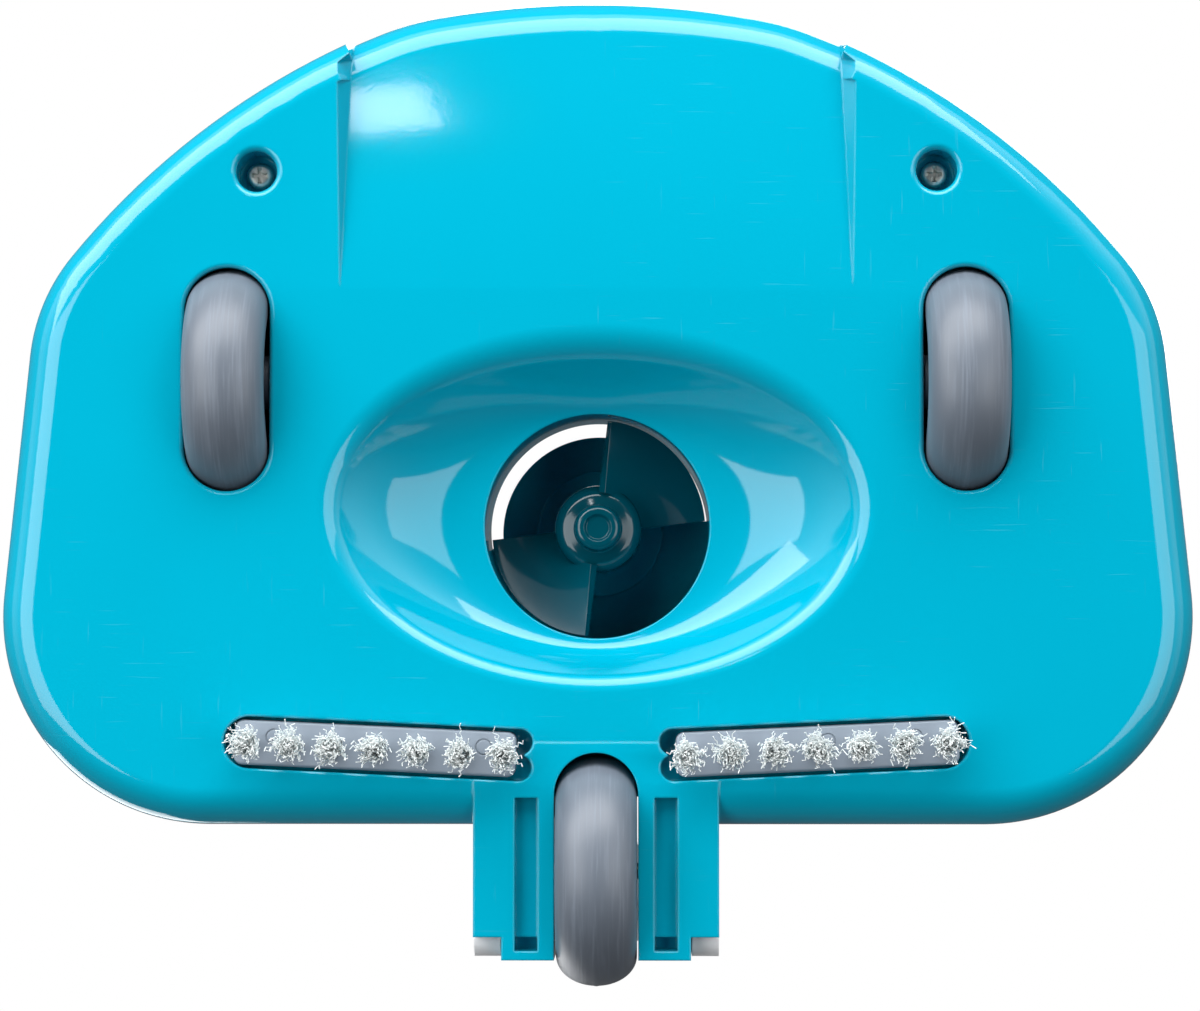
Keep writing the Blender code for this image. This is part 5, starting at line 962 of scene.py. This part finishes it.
def battery_lid():
    """The lid over the cells and its push button."""
    lid = raised("lid", rounded_rectangle(TUB_WIDTH, TUB_LENGTH, TUB_CORNER), LID_BOTTOM, LID_TOP,
                 high_fillet=1.2 * MM, steps=5, place=(0, TUB_Y, 0))
    cut(lid, bar("button_way", BUTTON_DIAMETER / 2 + GAP, LID_BOTTOM - OVERCUT, LID_TOP + OVERCUT,
                 (0, TUB_Y, 0), sides=96))
    for _, spot in lid_screw_places():
        cut(lid, bar("hole", SCREW_SHANK / 2 + GAP, LID_BOTTOM - OVERCUT, LID_TOP + OVERCUT, spot,
                     sides=32))
    place_piece(lid, "turquoise_plastic", "head", ["battery_lid"])
    radius, top = BUTTON_DIAMETER / 2, BUTTON_PROUD
    low = LID_BOTTOM - GAP - LID_TOP
    profile = [(0.0, top - 0.6 * MM), (radius - 3.4 * MM, top - 0.35 * MM), (radius - 2 * MM, top - 0.1 * MM)]
    profile += arc((radius - MM, top - MM), MM, 90, 0, 6)
    profile += [(radius, low), (radius + 1.2 * MM, low), (radius + 1.2 * MM, low - 1.5 * MM),
                (0.0, low - 1.5 * MM)]
    button = turned("button", profile, 96, (0, TUB_Y, LID_TOP))
    place_piece(button, "white_plastic", "power_button", ["power_button"])


def charge_cap():
    """The hinged cap over the charging port."""
    near, radius = GAP - PORT_OUT, PORT_CAP_DIAMETER / 2
    hinge = (TUB_WIDTH / 2 + PORT_OUT, TUB_Y, CELL_HEIGHT + PORT_RISE)
    middle = (hinge[0], TUB_Y, CELL_HEIGHT)
    outer, edge = near + PORT_CAP_THICK, 0.6 * MM
    profile = [(0.0, outer - 0.1 * MM), (radius - 2 * MM, outer), (radius - edge, outer),
               (radius, outer - edge), (radius, near), (0.0, near)]
    cap = turned("port_cap", profile, 64, middle, "X")
    join(cap, block("lug", (near, -KNUCKLE_HALF, -PORT_RISE / 2), (outer, KNUCKLE_HALF, 0.0), hinge),
         bar("knuckle", 1.7 * MM, -KNUCKLE_HALF, KNUCKLE_HALF, hinge, "Y", 40),
         bar("plug", JACK_BORE / 2 - 0.2 * MM, near - MM, near + MM, middle, "X", 40))
    cut(cap, bar("pin_hole", 1.2 * MM, -5 * MM, 5 * MM, hinge, "Y", 24))
    place_piece(cap, "dark_plastic", "charge_cap", ["charge_cap"])


# ---------------------------------------------------------------- yoke

def pole_yoke():
    """Two round eyes, two legs, a bridge over the rear wheel and a spigot for the pole."""
    pivot = (0, PIVOT_Y, PIVOT_HEIGHT)
    low = BRIDGE_HEIGHT - PIVOT_HEIGHT
    high = low + BRIDGE_THICK
    half, back = ARM_SPAN / 2, EYE_RADIUS
    front = -SPIGOT_FORWARD - BRIDGE_LENGTH / 2
    outline = [(x, y + (back + front) / 2) for x, y in rounded_rectangle(2 * half, back - front, 3 * MM)]
    yoke = raised("yoke", outline, low, high, high_fillet=1.5 * MM, steps=6, place=pivot)
    inset = 0.02 * MM
    for side in SIDES:
        near, far = sorted((side * YOKE_INNER_X, side * half))
        foot = EYE_RADIUS - inset
        corners = [(-foot, 0.0), (foot, 0.0), (back - inset, low + MM), (-SPIGOT_FORWARD, low + MM)]
        leg = loft("leg", [[(x, y, z) for y, z in corners] for x in (near + inset, far - inset)], pivot)
        join(yoke, bar("eye", EYE_RADIUS, near, far, pivot, "X", 80), leg)
    radius, top = SPIGOT_DIAMETER / 2, high + SPIGOT_LENGTH
    at = (0, PIVOT_Y - SPIGOT_FORWARD, PIVOT_HEIGHT)
    profile = [(0.0, top), (radius - 1.5 * MM, top)]
    profile += arc((radius - 1.5 * MM, top - 1.5 * MM), 1.5 * MM, 75, 0, 5)
    profile += [(radius, low + 2 * MM), (0.0, low + 2 * MM)]
    join(yoke, turned("spigot", profile, 112, at))
    cut(yoke, bar("bore", radius - SPIGOT_WALL, low + 4 * MM, top + OVERCUT, at, sides=96))
    button_at = (0, at[1], PIVOT_HEIGHT + high + CLIP_HEIGHT)
    cut(yoke, bar("clip_hole", CLIP_DIAMETER / 2 + GAP, -2 * radius, 2 * radius, button_at, "X", 48),
        bar("pin_way", PIN_DIAMETER / 2 + GAP, -half - OVERCUT, half + OVERCUT, pivot, "X", 40))
    place_piece(yoke, "white_plastic", "yoke", ["pole_yoke"])
    tip, inner, button = radius + CLIP_PROUD, radius - SPIGOT_WALL - 2.2 * MM, CLIP_DIAMETER / 2
    pin = PIN_DIAMETER / 2
    for side, name in each_side():
        profile = [(0.0, tip)]
        profile += arc((button - 2 * MM, tip - 2 * MM), 2 * MM, 90, 0, 6)
        profile += [(button, inner), (0.0, inner)]
        snap = turned("snap_button_" + name, [(r, side * z) for r, z in profile], 56, button_at, "X")
        place_piece(snap, "steel", "clip_button_" + name, ["clip_button_" + name])
        near, far = sorted((side * (YOKE_PIN_START + GAP), side * (half - GAP)))
        profile = [(0.0, far), (pin - 0.4 * MM, far), (pin, far - 0.4 * MM), (pin, near + 0.4 * MM),
                   (pin - 0.4 * MM, near), (0.0, near)]
        place_piece(turned("hinge_pin_" + name, profile, 48, pivot, "X"), "steel", "head",
                    ["yoke_pin_" + name])


# ---------------------------------------------------------------- screws

def screw(node, length, spot, head_down):
    """A pan-head screw with a cross recess and a threaded shank."""
    head, thick, shank = SCREW_HEAD / 2, SCREW_THICK, SCREW_SHANK / 2
    profile = [(0.0, thick)]
    profile += [(head * (0.55 + 0.45 * math.sin(a)), thick * (0.45 + 0.55 * math.cos(a)))
                for a in (math.radians(t) for t in range(0, 91, 10))]
    profile += [(head, 0.3 * MM), (head - 0.2 * MM, 0.0), (shank, 0.0)]
    pitch, depth, at = 1.1 * MM, 0.3 * MM, -1.0 * MM
    while at - pitch > 2 * MM - length:
        profile += [(shank, at), (shank - depth, at - pitch / 2)]
        at -= pitch
    profile += [(shank, at), (0.0, -length)]
    item = turned(node + "_body", profile, 56)
    wide, thin, recess = head * 0.62, head * 0.16, 1.3 * MM
    for a, b in ((wide, thin), (thin, wide)):
        rings = [[(x * s, y * s, z) for x, y in ((-a, -b), (a, -b), (a, b), (-a, b))]
                 for s, z in ((0.72, thick - recess), (1.0, thick), (1.0, thick + OVERCUT))]
        cut(item, loft("cross", rings))
    if head_down:
        item.data.transform(Matrix.Rotation(math.pi, 4, "X"))
    settle(item, spot)
    place_piece(item, "steel", "head", [node])


def screws():
    seat = GROUND_CLEARANCE + COUNTERBORE_DEPTH - GAP
    for side, name in each_side():
        screw("underside_screw_" + name, UNDER_SCREW_LENGTH, (UNDER_SCREW_X * side, UNDER_SCREW_Y, seat),
              True)
        x, y, _ = flange_screw_place(side)
        screw("flange_screw_" + name, LID_SCREW_LENGTH, (x, y, DECK_SEAT + FLANGE_THICK + GAP), False)
    for name, (x, y, _) in lid_screw_places():
        screw("lid_screw_" + name, LID_SCREW_LENGTH, (x, y, LID_TOP + GAP), False)


# ---------------------------------------------------------------- pieces kept from the CAD frame

KEPT = {
    "motor_can": "steel", "motor_shaft": "steel", "shaft_seal": "rubber", "motor_cap_seal": "rubber",
    "battery_gasket": "rubber", "battery_cell_left": "cell_wrap", "battery_cell_right": "cell_wrap",
    "circuit_board": "board", "power_switch": "dark_plastic", "charge_jack": "dark_plastic",
    "charge_cap_pin": "steel", "motor_lead_black": "rubber", "motor_lead_red": "red_insulation",
    "clip_spring": "steel",
}


def kept_pieces():
    for node, finish in KEPT.items():
        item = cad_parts[node]
        item.data.materials.clear()
        item.data.materials.append(FINISHES[finish].material)


# ---------------------------------------------------------------- stage

def soft_light(name, place, aim, size, power):
    light = bpy.data.lights.new(name, "AREA")
    light.shape, light.size, light.size_y = "RECTANGLE", size[0], size[1]
    light.energy = power
    item = linked(name, light)
    item.location = place
    item.rotation_euler = (Vector(aim) - Vector(place)).to_track_quat("-Z", "Y").to_euler()
    item.visible_camera = False


def studio(sizes):
    """Pale floor, pale surroundings, soft lights and the camera."""
    deselect()
    bpy.ops.mesh.primitive_plane_add(size=sizes.floor_size)
    floor = named("floor")
    finish = Finish("floor_paint", Roughness=0.7)
    mottle = finish.noise(3.0)
    finish.set(Base_Color=finish.blend(mottle, (0.86, 0.86, 0.87), (0.90, 0.90, 0.91)))
    facing = finish.add("ShaderNodeNewGeometry", output="Backfacing")
    clear = finish.add("ShaderNodeBsdfTransparent")
    output = finish.tree.nodes["Material Output"]
    mixed = finish.add("ShaderNodeMixShader", None, {
        0: facing, 1: Tone(finish, finish.shader.outputs[0]), 2: clear})
    finish.put(mixed, output.inputs["Surface"])
    floor.data.materials.append(finish.material)
    floor.visible_shadow = floor.visible_diffuse = floor.visible_glossy = False

    world = bpy.data.worlds.new("pale_room")
    bpy.context.scene.world = world
    room = Nodes(world)
    around = room.add("ShaderNodeTexCoord", output="Generated")
    parts = room.add("ShaderNodeSeparateXYZ", None, {0: around})
    height, depth = (Tone(room, parts.socket.node.outputs[axis]) for axis in "ZY")
    level = room.add("ShaderNodeMapRange", None, {"Value": height, "From Min": -1.0, "From Max": 1.0})
    wall = room.add("ShaderNodeValToRGB", {"stops": (
        (0.0, 0.01), (0.06, 0.02), (0.20, 0.30), (0.38, 1.0), (0.46, 1.0), (0.50, 0.5))}, {0: level})
    upper = room.add("ShaderNodeMath", {"operation": "GREATER_THAN"}, {0: height, 1: 0.0})
    front = room.add("ShaderNodeMapRange", None, {"Value": depth, "From Min": 0.6, "From Max": -0.9})
    under = wall * (front * sizes.wall_light + 0.10)
    seen = room.add("ShaderNodeLightPath")
    above = seen * (1 - sizes.sky_light) + sizes.sky_light
    light = under * (1 - upper) + upper * above * sizes.room_light
    room.put(light, room.tree.nodes["Background"].inputs["Strength"])
    room.put((1.0, 1.0, 1.0), room.tree.nodes["Background"].inputs["Color"])

    low = sizes.under_light
    soft_light("under_left", (-0.70, 0.04, -0.80), (0, 0, 0), (0.72, 0.72), 6.6 * low)
    soft_light("under_right", (0.70, 0.04, -0.80), (0, 0, 0), (0.72, 0.72), 4.6 * low)
    soft_light("under_front", (-0.3, -1.15, -0.75), (0, 0, 0), (3.0, 1.0), 60 * low)
    soft_light("ramp_glint", (-0.129, -0.4455, -0.92), (-0.05, -0.1, 0), (0.05, 0.055), 0.10 * low)
    soft_light("overhead", (0.5, -0.8, 1.5), (0, 0, 0.05), (1.2, 1.2), 22 * sizes.top_light)
    soft_light("overhead_back", (-0.8, 1.0, 1.1), (0, 0, 0.05), (0.9, 0.9), 11 * sizes.top_light)

    camera = bpy.data.cameras.new("camera")
    camera.lens, camera.sensor_width = sizes.lens, 36.0
    camera.clip_start, camera.clip_end = 0.01, 100.0
    item = linked("camera", camera)
    place, target = Vector(CAMERA_PLACE), Vector(CAMERA_TARGET)
    toward = (target - place).normalized()
    right = toward.cross(Vector((0, -1, 0))).normalized()
    up = right.cross(toward)
    turn = Matrix((right, up, -toward)).transposed()
    item.matrix_world = Matrix.Translation(place) @ turn.to_4x4()
    bpy.context.scene.camera = item
    bpy.context.scene.view_settings.view_transform = "Standard"


# ---------------------------------------------------------------- add-on

def tint(name, description, default):
    return bpy.props.FloatVectorProperty(
        name=name, description=description, subtype="COLOR", default=default, min=0.0, max=1.0)


def amount(name, description, default):
    return bpy.props.FloatProperty(name=name, description=description, default=default)


class PoolHeadSettings(bpy.types.PropertyGroup):
    """Sizes and colours that a user would change."""
    turquoise: tint("Shell colour", "Colour of the moulded shells", (0.0, 0.27, 0.39))
    wheel_grey: tint("Wheel colour", "Colour of the wheels", (0.105, 0.125, 0.155))
    plate_grey: tint("Brush strip colour", "Colour of the brush strips", (0.20, 0.24, 0.29))
    white: tint("Yoke colour", "Colour of the yoke and the button", (0.84, 0.85, 0.87))
    bristles: bpy.props.IntProperty(
        name="Bristles", description="Bristles in one tuft", default=170, min=10, max=300)
    bristle_diameter: bpy.props.FloatProperty(
        name="Bristle thickness", description="Diameter of one bristle", unit="LENGTH",
        default=0.00026, min=0.0001, max=0.001, precision=5)


class PoolHeadStage(bpy.types.PropertyGroup):
    """Floor, lights and camera."""
    floor_size: bpy.props.FloatProperty(
        name="Floor size", description="Side of the square floor", unit="LENGTH", default=80.0)
    room_light: amount("Room light", "Brightness of the pale surroundings", 1.0)
    wall_light: amount("Wall light", "Brightness of the walls low in front of the head", 2.2)
    sky_light: amount("Sky light", "Share of the room's brightness that lights the head from above", 0.15)
    under_light: amount("Light from below", "Share of the lights under the head", 1.0)
    top_light: amount("Light from above", "Share of the lights over the head", 1.0)
    lens: amount("Lens", "Focal length of the camera in millimetres", 102.3)


class Step:
    """A building step that needs no settings."""

    def execute(self, context):
        self.build()
        return {"FINISHED"}


class POOLHEAD_OT_finishes(bpy.types.Operator):
    """Make every finish of the head"""
    bl_idname = "poolhead.finishes"
    bl_label = "Finishes"

    def execute(self, context):
        FINISHES.update(finishes(context.scene.pool_head))
        return {"FINISHED"}


class POOLHEAD_OT_lower_housing(Step, bpy.types.Operator):
    """Build the lower shell with its ramp, bowl, slots and arms"""
    bl_idname = "poolhead.lower_housing"
    bl_label = "Lower shell"
    build = staticmethod(lower_housing)


class POOLHEAD_OT_top_cover(Step, bpy.types.Operator):
    """Build the upper shell"""
    bl_idname = "poolhead.top_cover"
    bl_label = "Upper shell"
    build = staticmethod(top_cover)


class POOLHEAD_OT_wheels(Step, bpy.types.Operator):
    """Build the three wheels and their axles"""
    bl_idname = "poolhead.wheels"
    bl_label = "Wheels"
    build = staticmethod(wheels)


class POOLHEAD_OT_brushes(bpy.types.Operator):
    """Build the brush strips and their bristle tufts"""
    bl_idname = "poolhead.brushes"
    bl_label = "Brushes"

    def execute(self, context):
        brushes(context.scene.pool_head)
        return {"FINISHED"}


class POOLHEAD_OT_impeller(Step, bpy.types.Operator):
    """Build the impeller"""
    bl_idname = "poolhead.impeller"
    bl_label = "Impeller"
    build = staticmethod(impeller)


class POOLHEAD_OT_outlet_housing(Step, bpy.types.Operator):
    """Build the outlet ring, motor cup and battery tub"""
    bl_idname = "poolhead.outlet_housing"
    bl_label = "Outlet and tub"
    build = staticmethod(outlet_housing)


class POOLHEAD_OT_motor_cap(Step, bpy.types.Operator):
    """Build the fluted motor cap"""
    bl_idname = "poolhead.motor_cap"
    bl_label = "Motor cap"
    build = staticmethod(motor_cap)


class POOLHEAD_OT_battery_lid(Step, bpy.types.Operator):
    """Build the battery lid and the power button"""
    bl_idname = "poolhead.battery_lid"
    bl_label = "Battery lid and button"
    build = staticmethod(battery_lid)


class POOLHEAD_OT_charge_cap(Step, bpy.types.Operator):
    """Build the cap of the charging port"""
    bl_idname = "poolhead.charge_cap"
    bl_label = "Port cap"
    build = staticmethod(charge_cap)


class POOLHEAD_OT_pole_yoke(Step, bpy.types.Operator):
    """Build the pole yoke, its pins and its snap buttons"""
    bl_idname = "poolhead.pole_yoke"
    bl_label = "Pole yoke"
    build = staticmethod(pole_yoke)


class POOLHEAD_OT_screws(Step, bpy.types.Operator):
    """Build the eight screws"""
    bl_idname = "poolhead.screws"
    bl_label = "Screws"
    build = staticmethod(screws)


class POOLHEAD_OT_kept_pieces(Step, bpy.types.Operator):
    """Give the inner CAD pieces their finishes"""
    bl_idname = "poolhead.kept_pieces"
    bl_label = "Inner pieces"
    build = staticmethod(kept_pieces)


class POOLHEAD_OT_studio(bpy.types.Operator):
    """Set up the floor, the lights and the camera"""
    bl_idname = "poolhead.studio"
    bl_label = "Studio"

    def execute(self, context):
        studio(context.scene.pool_head_stage)
        return {"FINISHED"}


OPERATORS = (
    POOLHEAD_OT_finishes, POOLHEAD_OT_lower_housing, POOLHEAD_OT_top_cover, POOLHEAD_OT_wheels,
    POOLHEAD_OT_brushes, POOLHEAD_OT_impeller, POOLHEAD_OT_outlet_housing, POOLHEAD_OT_motor_cap,
    POOLHEAD_OT_battery_lid, POOLHEAD_OT_charge_cap, POOLHEAD_OT_pole_yoke, POOLHEAD_OT_screws,
    POOLHEAD_OT_kept_pieces, POOLHEAD_OT_studio,
)


class POOLHEAD_PT_panel(bpy.types.Panel):
    """Lists the settings and the building steps"""
    bl_idname = "POOLHEAD_PT_panel"
    bl_label = "Pool head"
    bl_space_type = "VIEW_3D"
    bl_region_type = "UI"
    bl_category = "Pool head"

    def draw(self, context):
        for settings in (context.scene.pool_head, context.scene.pool_head_stage):
            for name in settings.__annotations__:
                self.layout.prop(settings, name)
        for operator in OPERATORS:
            self.layout.operator(operator.bl_idname)


CLASSES = (PoolHeadSettings, PoolHeadStage, *OPERATORS, POOLHEAD_PT_panel)


def register():
    for item in CLASSES:
        bpy.utils.register_class(item)
    bpy.types.Scene.pool_head = bpy.props.PointerProperty(type=PoolHeadSettings)
    bpy.types.Scene.pool_head_stage = bpy.props.PointerProperty(type=PoolHeadStage)


def unregister():
    del bpy.types.Scene.pool_head_stage
    del bpy.types.Scene.pool_head
    for item in reversed(CLASSES):
        bpy.utils.unregister_class(item)


def main():
    register()
    for operator in OPERATORS:
        group, name = operator.bl_idname.split(".")
        getattr(getattr(bpy.ops, group), name)()


if __name__ == "__main__":
    main()
